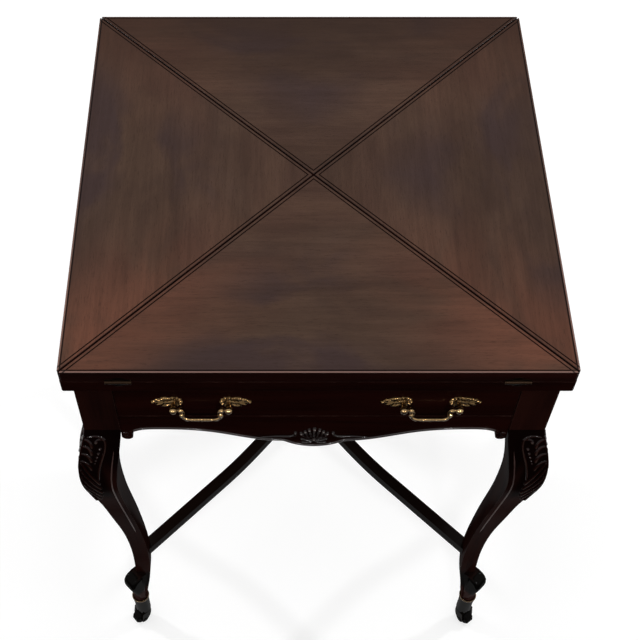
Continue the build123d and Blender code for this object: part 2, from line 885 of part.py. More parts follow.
with BuildPart() as drawer_stops:
    with BuildSketch(Plane.XY.offset(sill_height)):
        for hand in (-1, 1):
            with Locations((hand * (runner_inner + stop_block_width / 2), drawer_end + stop_block_gap)):
                Rectangle(stop_block_width, stop_block_length, align=(Align.CENTER, Align.MIN))
    extrude(amount=stop_block_height)
finish(drawer_stops, "drawer_stops")

with BuildPart() as glue_blocks:
    with BuildSketch(Plane.XY.offset(sub_top_bottom)):
        for step in (-glue_block_share * block_inner, glue_block_share * block_inner):
            with Locations((rail_back, step)):
                Rectangle(glue_block_side, glue_block_length, align=(Align.MAX, Align.CENTER))
            with Locations((-rail_back, step)):
                Rectangle(glue_block_side, glue_block_length, align=(Align.MIN, Align.CENTER))
            with Locations((step, rail_back)):
                Rectangle(glue_block_length, glue_block_side, align=(Align.CENTER, Align.MAX))
    extrude(amount=-glue_block_side)
finish(glue_blocks, "glue_blocks")


# Dovetails of one drawer side, drawn on the plane of its outer face
def tails(hand):
    with BuildSketch(Plane.YZ.offset(hand * drawer_half)) as tail_shapes:
        for height in tail_heights:
            middle = drawer_bottom + height
            with BuildLine():
                Polyline(
                    (-rail_back, middle - tail_height / 2),
                    (-rail_back, middle + tail_height / 2),
                    (-rail_back - tail_length, middle + tail_height / 2 + tail_flare),
                    (-rail_back - tail_length, middle - tail_height / 2 - tail_flare),
                    close=True,
                )
            make_face()
    return tail_shapes.sketch


with BuildPart() as drawer_front:
    with BuildSketch(Plane.XZ.offset(rail_face)):
        with Locations((0, (sill_height + top_rail_bottom) / 2)):
            Rectangle(2 * drawer_half, top_rail_bottom - sill_height - 2 * drawer_front_gap)
    extrude(amount=-rail_thickness)
    with Locations((0, -rail_back, drawer_floor_bottom)):
        Box(
            2 * (drawer_side_inner + drawer_groove),
            2 * drawer_groove,
            drawer_floor_thickness,
            align=(Align.CENTER, Align.CENTER, Align.MIN),
            mode=Mode.SUBTRACT,
        )
    extrude(tails(1), amount=-drawer_side_thickness, mode=Mode.SUBTRACT)
    extrude(tails(-1), amount=drawer_side_thickness, mode=Mode.SUBTRACT)
    with BuildSketch(Plane.XZ.offset(rail_back)):
        for hand in (-1, 1):
            with Locations((hand * handle_offset, handle_height)):
                with Locations((-post_half_span, 0), (post_half_span, 0)):
                    Circle(post_shank_radius + shank_fit)
    extrude(amount=rail_thickness, mode=Mode.SUBTRACT)
finish(drawer_front, "drawer_front")

for side, hand in (("left", -1), ("right", 1)):
    with BuildPart() as drawer_side:
        with Locations((hand * (drawer_half - drawer_side_thickness / 2), -rail_back, drawer_bottom)):
            Box(
                drawer_side_thickness,
                rail_back + drawer_end,
                drawer_side_height,
                align=(Align.CENTER, Align.MIN, Align.MIN),
            )
        extrude(tails(hand), amount=-hand * drawer_side_thickness)
        with Locations((hand * drawer_side_inner, -rail_back - drawer_groove, drawer_floor_bottom)):
            Box(
                2 * drawer_groove,
                rail_back + drawer_groove + drawer_end,
                drawer_floor_thickness,
                align=(Align.CENTER, Align.MIN, Align.MIN),
                mode=Mode.SUBTRACT,
            )
        with Locations((hand * drawer_side_inner, drawer_back_face, drawer_floor_top)):
            Box(
                2 * drawer_groove,
                drawer_back_thickness,
                drawer_side_height,
                align=(Align.CENTER, Align.MAX, Align.MIN),
                mode=Mode.SUBTRACT,
            )
    finish(drawer_side, "drawer_side_" + side)

with BuildPart() as drawer_back:
    with Locations((0, drawer_back_face, drawer_floor_top)):
        Box(
            2 * (drawer_side_inner + drawer_groove),
            drawer_back_thickness,
            drawer_back_height,
            align=(Align.CENTER, Align.MAX, Align.MIN),
        )
finish(drawer_back, "drawer_back")

with BuildPart() as drawer_floor:
    with Locations((0, -rail_back - drawer_groove, drawer_floor_bottom)):
        Box(
            2 * (drawer_side_inner + drawer_groove),
            rail_back + drawer_groove + drawer_end,
            drawer_floor_thickness,
            align=(Align.CENTER, Align.MIN, Align.MIN),
        )
finish(drawer_floor, "drawer_bottom")

# Bail handles: a pair of roses on each, its posts through the drawer front, and the swinging bail
handle_centres = [(hand * handle_offset, handle_height) for hand in (-1, 1)]
post_places = [(x + step, z) for x, z in handle_centres for step in (-post_half_span, post_half_span)]

rose_outline = [
    rose_tip_share,
    *rose_outline_shares,
    rose_heel_share,
    *[(u, -v) for u, v in reversed(rose_outline_shares)],
]
with BuildPart() as handle_roses:
    with BuildSketch(Plane.XZ.offset(rail_face)):
        for centre_x, centre_z in handle_centres:
            for hand in (-1, 1):
                post_x = centre_x + hand * post_half_span
                with BuildLine():
                    Spline(
                        *[
                            (post_x + hand * rose_length * u, centre_z + rose_height * v)
                            for u, v in rose_outline
                        ],
                        periodic=True,
                    )
                make_face()
    extrude(amount=rose_thickness)
    with BuildSketch(Plane.XZ.offset(rail_face + rose_thickness)):
        with Locations(*post_places):
            Circle(rose_boss_radius)
    extrude(amount=rose_boss_height)
    with BuildSketch(Plane.XZ.offset(rail_face)):
        with Locations(*post_places):
            Circle(post_shank_radius)
    extrude(amount=rose_thickness + rose_boss_height, mode=Mode.SUBTRACT)
finish(handle_roses, "handle_roses")

with BuildPart() as handle_posts:
    for post_x, post_z in post_places:
        with BuildSketch(Plane.YZ.offset(post_x)):
            with BuildLine():
                ThreePointArc(
                    (-bail_axis_reach - post_ball_radius, post_z),
                    (-bail_axis_reach, post_z + post_ball_radius),
                    (post_neck - bail_axis_reach, post_z + post_shank_radius),
                )
                Polyline(
                    (post_neck - bail_axis_reach, post_z + post_shank_radius),
                    (post_end_length - rail_back, post_z + post_shank_radius),
                    (post_end_length - rail_back, post_z),
                    (-bail_axis_reach - post_ball_radius, post_z),
                )
            make_face()
        revolve(axis=Axis((post_x, -bail_axis_reach, post_z), (0, 1, 0)))
    for centre_x, centre_z in handle_centres:
        with Locations((centre_x, -bail_axis_reach, centre_z)):
            Cylinder(
                bail_pin_radius + bail_pin_fit,
                2 * (bail_pin_end + pin_fit),
                rotation=(0, quarter_turn, 0),
                mode=Mode.SUBTRACT,
            )
finish(handle_posts, "handle_posts")

with BuildPart() as handle_nuts:
    with BuildSketch(Plane.XZ.offset(rail_back)):
        with Locations(*post_places):
            RegularPolygon(post_nut_radius, 6)
            Circle(post_shank_radius, mode=Mode.SUBTRACT)
    extrude(amount=-post_nut_height)
finish(handle_nuts, "handle_nuts")

bail_route = [(bail_start * u, -bail_drop * v) for u, v in bail_route_shares]
bail_route += [(-x, z) for x, z in reversed(bail_route)]
for (side, hand), (centre_x, centre_z) in zip((("left", -1), ("right", 1)), handle_centres):
    bail_plane = Plane(origin=(centre_x, -bail_axis_reach, centre_z), x_dir=(1, 0, 0), z_dir=(0, -1, 0))
    with BuildPart() as bail:
        with BuildLine(bail_plane) as bail_line:
            FilletPolyline(*bail_route, radius=bail_bend)
        with BuildSketch(Plane(origin=bail_line.line @ 0, z_dir=bail_line.line % 0)):
            Circle(bail_radius)
        sweep()
        with Locations((centre_x, -bail_axis_reach, centre_z)):
            for end in (-1, 1):
                with Locations((end * bail_start, 0, 0)):
                    Cylinder(
                        bail_pin_radius,
                        2 * (bail_pin_end - bail_start),
                        rotation=(0, quarter_turn, 0),
                    )
                with Locations((end * (bail_start - bail_collar_length / 2), 0, 0)):
                    Cylinder(bail_collar_radius, bail_collar_length, rotation=(0, quarter_turn, 0))
        with BuildSketch(bail_plane):
            with BuildLine():
                Polyline(
                    (-bail_ornament_half, -bail_drop),
                    *[
                        (-bail_ornament_half * u, bail_collar_radius * v - bail_drop)
                        for u, v in bail_ornament_shares
                    ],
                    *[
                        (bail_ornament_half * u, bail_collar_radius * v - bail_drop)
                        for u, v in reversed(bail_ornament_shares[:-1])
                    ],
                    (bail_ornament_half, -bail_drop),
                    close=True,
                )
            make_face()
        revolve(axis=Axis((centre_x, -bail_axis_reach, centre_z - bail_drop), (1, 0, 0)))
    finish(bail, "bail_" + side)

# Casters: cup with its pintle on the foot, fork that turns on the pintle, and wheel on the fork's axle
with BuildPart() as caster_cups:
    for corner, turn, x_hand, y_hand in corners:
        with BuildSketch(Plane.XY.offset(cup_bottom)):
            with Locations((x_hand * foot_axis, y_hand * foot_axis)):
                Circle(cup_outer)
    extrude(amount=foot_bottom - cup_bottom)
    chamfer(caster_cups.edges().filter_by(GeomType.CIRCLE).group_by(Axis.Z)[0], cup_bevel)
    cup_places = [(x_hand * foot_axis, y_hand * foot_axis) for _, _, x_hand, y_hand in corners]
    with BuildSketch(Plane.XY.offset(foot_bottom)):
        with Locations(*cup_places):
            Circle(cup_outer + cup_collar)
    extrude(amount=-cup_collar_height)
    with BuildSketch(Plane.XY.offset(foot_bottom)):
        with Locations(*cup_places):
            Circle(cup_inner)
    extrude(amount=cup_inside_floor - foot_bottom, mode=Mode.SUBTRACT)
    with BuildSketch(Plane.XY.offset(cup_bottom)):
        with Locations(*cup_places):
            Circle(pintle_radius)
    extrude(amount=crown_bottom - pintle_head_gap - cup_bottom)
    with BuildSketch(Plane.XY.offset(crown_bottom - pintle_head_gap)):
        with Locations(*cup_places):
            Circle(pintle_head_radius)
    extrude(amount=-pintle_head_height)
finish(caster_cups, "caster_cups")

with BuildPart() as horn_form:
    with BuildSketch(Plane.XZ):
        with Locations((0, (crown_top + crown_bottom) / 2)):
            Rectangle(2 * horn_front_reach, crown_thickness)
        with Locations((caster_trail, wheel_radius)):
            Circle(horn_end_radius)
        make_hull()
    extrude(amount=horn_width / 2, both=True)
    fillet(horn_form.edges().filter_by(Axis.Z).group_by(Axis.X)[0], horn_front_rounding)
    with Locations((0, 0, crown_bottom)):
        Box(
            2 * (caster_trail + wheel_radius),
            horn_slot,
            crown_bottom,
            align=(Align.CENTER, Align.CENTER, Align.MAX),
            mode=Mode.SUBTRACT,
        )
    with Locations((0, 0, crown_top)):
        Cylinder(pintle_radius + pintle_fit, 2 * crown_thickness + overrun, mode=Mode.SUBTRACT)
    with Locations((caster_trail, 0, wheel_radius)):
        Cylinder(axle_radius + axle_seat, horn_width, rotation=(quarter_turn, 0, 0), mode=Mode.SUBTRACT)

with BuildPart() as axle_form:
    with Locations((caster_trail, 0, wheel_radius)):
        Cylinder(axle_radius, horn_width + 2 * axle_seat, rotation=(quarter_turn, 0, 0))
        with Locations((0, -horn_width / 2 - axle_seat, 0)):
            Cylinder(
                axle_head_radius,
                axle_head_height,
                rotation=(quarter_turn, 0, 0),
                align=(Align.CENTER, Align.CENTER, Align.MIN),
            )
        with Locations((0, horn_width / 2 + axle_seat, 0)):
            Cylinder(
                axle_head_radius,
                axle_head_height,
                rotation=(-quarter_turn, 0, 0),
                align=(Align.CENTER, Align.CENTER, Align.MIN),
            )

with BuildPart() as wheel_form:
    with Locations((caster_trail, 0, wheel_radius)):
        Cylinder(wheel_radius, wheel_width, rotation=(quarter_turn, 0, 0))
    chamfer(wheel_form.edges().filter_by(GeomType.CIRCLE), wheel_bevel)
    with Locations((caster_trail, 0, wheel_radius)):
        Cylinder(axle_radius + axle_fit, horn_width, rotation=(quarter_turn, 0, 0), mode=Mode.SUBTRACT)

for corner, _, x_hand, y_hand in corners:
    caster_place = (x_hand * foot_axis, y_hand * foot_axis, 0)
    heading = (0, 0, caster_headings[corner])
    with BuildPart() as horn:
        with Locations(Location(caster_place, heading)):
            add(horn_form.part)
            add(axle_form.part)
    finish(horn, "caster_horn_" + corner)
    with BuildPart() as wheel:
        with Locations(Location(caster_place, heading)):
            add(wheel_form.part)
    finish(wheel, "caster_wheel_" + corner)
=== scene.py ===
# %% [markdown]
# # A folding card table, dressed for its picture
# The table's exact solids come from CAD. They are loaded first and never moved. Everything that a carver, a
# brass founder or a polisher would add is made here in Blender, in metres, in the very same frame. A table
# like this could be modelled in Blender alone, but exact solids keep every joint true, and each added piece
# rides on one of their bodies, so that it moves along when a leaf opens or the drawer slides.

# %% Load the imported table
from math import cos, pi, radians, sin, sqrt

import bmesh
import bpy
import numpy as np
from mathutils import Matrix, Vector
from mathutils.bvhtree import BVHTree
from mathutils.geometry import interpolate_bezier


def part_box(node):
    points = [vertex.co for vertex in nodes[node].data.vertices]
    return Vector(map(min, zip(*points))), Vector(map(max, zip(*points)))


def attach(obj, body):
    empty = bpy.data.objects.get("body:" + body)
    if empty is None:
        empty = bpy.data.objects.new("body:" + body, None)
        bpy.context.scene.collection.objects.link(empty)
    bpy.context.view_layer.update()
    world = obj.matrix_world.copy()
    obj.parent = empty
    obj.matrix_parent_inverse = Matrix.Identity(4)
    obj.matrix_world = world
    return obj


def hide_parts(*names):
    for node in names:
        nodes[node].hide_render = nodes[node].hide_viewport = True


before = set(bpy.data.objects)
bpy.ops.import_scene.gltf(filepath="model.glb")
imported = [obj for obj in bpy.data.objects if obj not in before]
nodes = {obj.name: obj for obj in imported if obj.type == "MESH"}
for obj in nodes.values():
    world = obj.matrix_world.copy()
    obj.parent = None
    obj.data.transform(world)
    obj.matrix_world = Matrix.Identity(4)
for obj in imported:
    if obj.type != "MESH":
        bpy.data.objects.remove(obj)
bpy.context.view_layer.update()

# %% [markdown]
# ## Camera
# The photograph was taken from above the front edge, a little left of the middle, looking steeply down. The
# lens stays level from left to right, and the frame is shifted sideways, so the table's edges keep the slant
# that they have in the photograph. A camera turned sideways could frame it too, but would tilt those edges.

# %% Camera
camera_data = bpy.data.cameras.new("camera")
camera_data.sensor_width = 36
camera_data.lens = 65.8
camera_data.shift_x = 0.0728
degrees_down = 55.56
camera = bpy.data.objects.new("camera", camera_data)
camera.location = (-0.0465, -0.9046, 1.7765)
camera.rotation_euler = (radians(90 - degrees_down), 0, 0)
bpy.context.collection.objects.link(camera)
bpy.context.scene.camera = camera
bpy.context.scene.view_settings.view_transform = "Standard"
print("camera at", [round(v, 3) for v in camera.location], "with a", round(camera_data.lens, 1), "mm lens")

# %% [markdown]
# ## Studio
# The light is soft and comes from above, so the polished top is clear and the upright faces below it stay
# dark, as in the photograph. A sky that is bright overhead and dim at the horizon does this, and a few small
# lamps add the glints on brass and carving. To the eye, and in reflections, the floor and the sky are white.
# A black card lies on the floor in front, outside the picture. It shows only in reflections, as the card that a
# photographer puts down to keep a polished front deep in colour. Big soft lamps would light the uprights as
# much as the top, which is why the sky does most of the work.


# %% Small helpers for shader trees
def colour(red, green, blue):
    """A colour picked on screen, from 0 to 255, as the linear numbers that a shader uses."""

    def linear(value):
        value = value / 255
        return value / 12.92 if value <= 0.04045 else ((value + 0.055) / 1.055) ** 2.4

    return (linear(red), linear(green), linear(blue), 1)


def add_node(tree, kind, inputs=(), **settings):
    """Adds a node, sets its options, then fills or links its inputs."""
    node = tree.nodes.new(kind)
    for name, value in settings.items():
        setattr(node, name, value)
    for name, value in dict(inputs).items():
        if isinstance(value, bpy.types.NodeSocket):
            tree.links.new(value, node.inputs[name])
        else:
            node.inputs[name].default_value = value
    return node


def spread(tree, value, low, high, to_low=0.0, to_high=1.0):
    """Stretches the part of a value from low to high over a new range, with soft ends."""
    node = add_node(
        tree,
        "ShaderNodeMapRange",
        {"Value": value, "From Min": low, "From Max": high, "To Min": to_low, "To Max": to_high},
        interpolation_type="SMOOTHSTEP",
    )
    return node.outputs["Result"]


def mix(tree, factor, first, second):
    """Mixes two colours, and returns the result's socket."""
    node = add_node(tree, "ShaderNodeMix", {0: factor, 6: first, 7: second}, data_type="RGBA")
    return node.outputs[2]


def calculate(tree, operation, first, second=0.0):
    """One sum on numbers of a shader tree; returns the result's socket."""
    node = add_node(tree, "ShaderNodeMath", {0: first, 1: second}, operation=operation)
    return node.outputs[0]


def noise(tree, place, scale, detail, roughness=0.5, distortion=0.0):
    """Cloudy noise at a place, from 0 to 1."""
    settings = {"Scale": scale, "Detail": detail, "Roughness": roughness, "Distortion": distortion}
    return add_node(tree, "ShaderNodeTexNoise", {"Vector": place, **settings}).outputs["Fac"]


def new_material(name):
    """A new material; returns it with its tree and its main shader."""
    material = bpy.data.materials.new(name)
    material.use_nodes = True
    tree = material.node_tree
    return material, tree, tree.nodes["Principled BSDF"]


# %% Floor, card and sky
def seen_or_mirrored(tree):
    """1 for rays from the camera, and for those that show in a mirror or through glass."""
    path = tree.nodes.new("ShaderNodeLightPath").outputs
    shown = calculate(tree, "MAXIMUM", path["Is Camera Ray"], path["Is Glossy Ray"])
    return calculate(tree, "MAXIMUM", shown, path["Is Transmission Ray"])


def flat_sheet(name, material, half_width, half_depth, middle=(0, 0, 0)):
    """A flat sheet that lies on the ground, for the studio."""
    bm = bmesh.new()
    bmesh.ops.create_grid(bm, x_segments=1, y_segments=1, size=1.0)
    bmesh.ops.scale(bm, vec=(half_width, half_depth, 1), verts=bm.verts)
    bmesh.ops.translate(bm, vec=middle, verts=bm.verts)
    mesh = bpy.data.meshes.new(name)
    bm.to_mesh(mesh)
    bm.free()
    mesh.materials.append(material)
    sheet = bpy.data.objects.new(name, mesh)
    bpy.context.collection.objects.link(sheet)
    return sheet


black = (0, 0, 0, 1)
white = (1, 1, 1, 1)
floor_for_light = colour(110, 110, 110)
floor_for_eye = colour(180, 180, 180)
glow_for_eye = colour(205, 205, 205)
floor_half = 30.0
floor_material, floor_tree, floor_shader = new_material("studio_floor")
floor_shown = seen_or_mirrored(floor_tree)
floor_paint = mix(floor_tree, floor_shown, floor_for_light, floor_for_eye)
floor_tree.links.new(floor_paint, floor_shader.inputs["Base Color"])
floor_glow = mix(floor_tree, floor_shown, black, glow_for_eye)
floor_tree.links.new(floor_glow, floor_shader.inputs["Emission Color"])
floor_shader.inputs["Emission Strength"].default_value = 1.0
floor_shader.inputs["Roughness"].default_value = 0.9
floor_shader.inputs["Specular IOR Level"].default_value = 0.0
floor = flat_sheet("floor", floor_material, half_width=floor_half, half_depth=floor_half)

card_material, _, card_shader = new_material("black_card")
card_shader.inputs["Base Color"].default_value = colour(20, 20, 20)
card_shader.inputs["Specular IOR Level"].default_value = 0.0
card = flat_sheet("black_card", card_material, half_width=1.6, half_depth=1.03, middle=(0, -1.37, 0.001))
card.visible_camera = False
card.visible_diffuse = False
card.visible_shadow = False

overhead_light = 1.45
world = bpy.data.worlds.new("studio")
bpy.context.scene.world = world
world.use_nodes = True
sky_tree = world.node_tree
sky_direction = sky_tree.nodes.new("ShaderNodeTexCoord").outputs["Generated"]
sky_split = add_node(sky_tree, "ShaderNodeSeparateXYZ", {"Vector": sky_direction})
sky_height = calculate(sky_tree, "MAXIMUM", sky_split.outputs["Z"], 0.0)
sky_light = calculate(sky_tree, "MULTIPLY", calculate(sky_tree, "POWER", sky_height, 2.0), overhead_light)
sky_colour = mix(sky_tree, seen_or_mirrored(sky_tree), sky_light, white)
sky_tree.links.new(sky_colour, sky_tree.nodes["Background"].inputs["Color"])
print("studio: a white floor of", 2 * floor_half, "m, a black card and a sky that is bright overhead")


# %% Lamps
def small_lamp(name, place, aim, size, watts):
    """A small square lamp at place, turned to face the point aim."""
    lamp_data = bpy.data.lights.new(name, "AREA")
    lamp_data.shape = "SQUARE"
    lamp_data.size = size
    lamp_data.energy = watts
    lamp = bpy.data.objects.new(name, lamp_data)
    lamp.location = place
    lamp.rotation_euler = (Vector(aim) - Vector(place)).to_track_quat("-Z", "Y").to_euler()
    bpy.context.collection.objects.link(lamp)
    return lamp


table_middle = (0, -0.2, 0.6)
glint_size = 0.16
glint_watts = 22
small_lamp("left_glint", (-2.0, 1.0, 2.45), table_middle, glint_size, glint_watts)
small_lamp("right_glint", (2.0, 1.0, 2.45), table_middle, glint_size, glint_watts)
small_lamp("front_glint", (0.3, -2.4, 2.2), (0, -0.2, 0.5), 0.2, 9)
# The sparks show in polish and brass, and light no matt surface
for name, place in {
    "left_spark": (-2.6, 0.3, 1.6),
    "right_spark": (2.6, 0.3, 1.6),
    "left_front_spark": (-1.3, -2.2, 1.8),
    "right_front_spark": (1.3, -2.2, 1.8),
}.items():
    spark = small_lamp(name, place, table_middle, glint_size, glint_watts)
    spark.visible_diffuse = False
print("lamps:", [(lamp.name, lamp.energy) for lamp in bpy.data.lights])

# %% [markdown]
# ## Mahogany
# Polished mahogany shows three things at once: broad ribbons of lighter and darker wood, fine lines along the
# grain, and a clear skin of polish that is worn dull in places. A picture of wood would repeat and show its
# rims on shaped parts. So the ribbons and lines are noise, stretched along the grain, in one shader group that
# every wood of the table shares. Each board turns the pattern to its own grain direction with a Mapping node.
# A second group softens edges for the light, and says where they are, because handling rubs the polish off
# them first; their paler colour is also a painted highlight along the arrises.


# %% Shader groups for wood
def new_group(name, inputs, outputs):
    """A shader group with named sockets; returns its tree, and its input and output nodes."""
    tree = bpy.data.node_groups.new(name, "ShaderNodeTree")
    for label, kind in inputs:
        tree.interface.new_socket(label, in_out="INPUT", socket_type=kind)
    for label, kind in outputs:
        tree.interface.new_socket(label, in_out="OUTPUT", socket_type=kind)
    return tree, tree.nodes.new("NodeGroupInput"), tree.nodes.new("NodeGroupOutput")


def stretched_noise(tree, vector, scale, detail, roughness=0.5, distortion=0.0):
    """Noise drawn out along X, the grain's direction."""
    turned = add_node(tree, "ShaderNodeMapping", {"Vector": vector, "Scale": scale})
    return noise(tree, turned.outputs[0], 1.0, detail, roughness, distortion)


wood_group, wood_in, wood_out = new_group(
    "wood_grain",
    [("Vector", "NodeSocketVector")],
    [("Ribbons", "NodeSocketFloat"), ("Lines", "NodeSocketFloat"), ("Pores", "NodeSocketFloat")],
)
wood_vector = wood_in.outputs["Vector"]
ribbons = stretched_noise(wood_group, wood_vector, (2.2, 20, 20), 4, 0.55, 0.5)
lines = stretched_noise(wood_group, wood_vector, (9, 150, 150), 4, 0.7, 0.8)
pores = stretched_noise(wood_group, wood_vector, (110, 1500, 1500), 2)
wood_group.links.new(spread(wood_group, ribbons, 0.3, 0.7), wood_out.inputs["Ribbons"])
wood_group.links.new(spread(wood_group, lines, 0.32, 0.68), wood_out.inputs["Lines"])
wood_group.links.new(spread(wood_group, pores, 0.58, 0.7), wood_out.inputs["Pores"])

edge_group, edge_in, edge_out = new_group(
    "soft_edges",
    [("Radius", "NodeSocketFloat")],
    [("Normal", "NodeSocketVector"), ("Edge", "NodeSocketFloat")],
)
rounded = add_node(edge_group, "ShaderNodeBevel", {"Radius": edge_in.outputs["Radius"]}, samples=4)
flat_normal = edge_group.nodes.new("ShaderNodeNewGeometry").outputs["Normal"]
facing = add_node(
    edge_group, "ShaderNodeVectorMath", {0: rounded.outputs[0], 1: flat_normal}, operation="DOT_PRODUCT"
)
edge_mask = spread(edge_group, facing.outputs["Value"], 0.995, 0.86)
edge_group.links.new(rounded.outputs[0], edge_out.inputs["Normal"])
edge_group.links.new(edge_mask, edge_out.inputs["Edge"])
print("shader groups:", [g.name for g in bpy.data.node_groups])


# %% Colours of the woods
ALONG_X = (0, 0, 0)
ALONG_Y = (0, 0, 90)
ALONG_Z = (0, 90, 0)
frame_dark = colour(22, 7, 5)
frame_light = colour(42, 14, 10)
# Paler edges of the frame: wear, and a painted highlight along the arrises
frame_edge_wear_and_highlight = colour(98, 72, 66)
leg_dark = colour(27, 12, 10)
leg_light = colour(50, 24, 19)
ankle_red = colour(66, 36, 32)
toe_black = colour(9, 7, 6)
# Painted shade, nearly black, for carved hollows and under the blocks; painted highlights for carved crests, palest on
# the shells
painted_shade_black = colour(7, 3, 3)
carved_crest_highlight = colour(76, 62, 56)
shell_crest_highlight = colour(170, 158, 152)
print("the frame's red-brown, as a shader reads it:", [round(v, 4) for v in frame_light[:3]])


# %% Parts that every wood shares
def grain_along(tree, turn):
    """The object's own place, the same turned by turn in degrees, and the grain along the turned X."""
    place = add_node(tree, "ShaderNodeTexCoord").outputs["Object"]
    turned = add_node(tree, "ShaderNodeMapping", {"Vector": place, "Rotation": [radians(v) for v in turn]}).outputs[0]
    grain = add_node(tree, "ShaderNodeGroup", node_tree=wood_group)
    tree.links.new(turned, grain.inputs["Vector"])
    return place, turned, grain.outputs


def soft_edges(tree, radius):
    """The soft edges of a surface, rounded to the eye by a radius in metres."""
    edges = add_node(tree, "ShaderNodeGroup", node_tree=edge_group)
    edges.inputs["Radius"].default_value = radius
    return edges.outputs


def sink_pores(tree, shader, grain, edges, strength):
    """Sinks the grain's pores into a surface with soft edges."""
    bump = add_node(
        tree,
        "ShaderNodeBump",
        {"Height": grain["Pores"], "Strength": strength, "Distance": -0.0002, "Normal": edges["Normal"]},
    )
    tree.links.new(bump.outputs[0], shader.inputs["Normal"])


def leg_tints(tree, place, surface):
    """Painted shade, nearly black under the blocks and over the knees, a black toe, and the redder wood of the ankles.
    Each pair of numbers says, in metres, where a tint starts and where it is full."""
    block_foot, knee, corner_low, outer_edge = (0.6185, 0.6165), (0.51, 0.57), (0.445, 0.475), (0.236, 0.25)
    toe_top, ankle_top = (0.18, 0.158), (0.126, 0.112)
    split = add_node(tree, "ShaderNodeSeparateXYZ", {"Vector": place}).outputs
    level = split["Z"]
    out = calculate(tree, "MINIMUM", *[calculate(tree, "ABSOLUTE", split[axis]) for axis in "XY"])
    corner = calculate(
        tree, "MULTIPLY", spread(tree, out, *outer_edge), spread(tree, level, *corner_low, 0.0, 0.85)
    )
    upper = calculate(tree, "MAXIMUM", spread(tree, level, *knee, 0.0, 0.85), corner)
    painted_shade_under_block = calculate(tree, "MULTIPLY", upper, spread(tree, level, *block_foot))
    darkened = mix(tree, painted_shade_under_block, surface, painted_shade_black)
    blackened = mix(tree, spread(tree, level, *toe_top, 0.0, 0.95), darkened, toe_black)
    return mix(tree, spread(tree, level, *ankle_top, 0.0, 0.85), blackened, ankle_red)


def carving_tints(tree, surface, crest_highlight):
    """Painted shade, black in the hollows, and painted highlight with rubbed wear on the crests of a carving, by how
    far each point is lifted from the ground.
    """
    lift = add_node(tree, "ShaderNodeAttribute", attribute_name="lift").outputs["Fac"]
    blackened = mix(tree, spread(tree, lift, 0.15, 0.75, 0.9, 0.0), surface, painted_shade_black)
    return mix(tree, spread(tree, lift, 0.7, 1.0, 0.0, 0.8), blackened, crest_highlight)


# %% One function for every wood of the frame
def wood(name, turn, dark, light, edge_wear_and_highlight, polish, gloss, specular=0.0, edge_radius=0.0008, kind="board"):
    """A wood whose grain lies along X after turning it by turn, in degrees. Its polish is the weight of the clear
    coat, and gloss holds the roughness of its smoothest and its dullest places. Kinds leg, carving and shell have
    tints of their own."""
    material, tree, shader = new_material(name)
    place, _, grain = grain_along(tree, turn)
    figure = mix(tree, grain["Ribbons"], dark, light)
    lined = mix(tree, spread(tree, grain["Lines"], 0, 1, 0.0, 0.3), figure, light)
    pored = mix(tree, spread(tree, grain["Pores"], 0, 1, 0.0, 0.45), lined, dark)
    edges = soft_edges(tree, edge_radius)
    # Edges take the edge colour: wear, and on the mahogany also a painted highlight along the arrises
    edge_wear_and_highlight_mask = spread(tree, noise(tree, place, 60.0, 3.0), 0.42, 0.68, 0.3, 0.85)
    surface = mix(tree, calculate(tree, "MULTIPLY", edges["Edge"], edge_wear_and_highlight_mask), pored, edge_wear_and_highlight)
    if kind == "leg":
        surface = leg_tints(tree, place, surface)
    if kind in ("carving", "shell"):
        surface = carving_tints(tree, surface, shell_crest_highlight if kind == "shell" else carved_crest_highlight)
    tree.links.new(surface, shader.inputs["Base Color"])
    smears = noise(tree, place, 14.0, 4.0)
    tree.links.new(spread(tree, smears, 0.3, 0.7, gloss[0], gloss[1]), shader.inputs["Roughness"])
    shader.inputs["Specular IOR Level"].default_value = specular
    sink_pores(tree, shader, grain, edges, 0.15)
    if polish:
        shader.inputs["Coat Weight"].default_value = polish
        shader.inputs["Coat Roughness"].default_value = gloss[0]
    return material


# %% The table's woods
satin = (0.14, 0.26)
fine_edge = 0.0004


def frame_wood(name, turn):
    """Mahogany of the aprons, rails, drawer front and bed."""
    return wood(name, turn, frame_dark, frame_light, frame_edge_wear_and_highlight, polish=0.12, gloss=satin)


def stretcher_wood(name, turn):
    """The crossed stretcher, coloured near black: painted shade under the top."""
    dark, light, edge_wear_and_highlight = colour(11, 6, 5), colour(20, 12, 9), colour(44, 34, 28)
    return wood(name, turn, dark, light, edge_wear_and_highlight, polish=0.09, gloss=satin)


def carved_wood(name, turn, polish, kind):
    """Mahogany of the reliefs, with a black ground and rubbed crests."""
    gloss = (0.1, 0.2)
    return wood(name, turn, frame_dark, frame_light, frame_edge_wear_and_highlight, polish, gloss, edge_radius=fine_edge, kind=kind)


def plain_wood(name, turn):
    """The plain oak inside the frame and the drawer."""
    dark, light, edge_wear_and_highlight = colour(140, 104, 66), colour(176, 138, 92), colour(120, 88, 58)
    return wood(name, turn, dark, light, edge_wear_and_highlight, polish=0.0, gloss=(0.55, 0.75), specular=0.3)


mahogany_across = frame_wood("mahogany_across", ALONG_X)
mahogany_deep = frame_wood("mahogany_deep", ALONG_Y)
mahogany_upright = wood(
    "mahogany_upright", ALONG_Z, leg_dark, leg_light, frame_edge_wear_and_highlight, polish=0.03, gloss=satin, kind="leg"
)
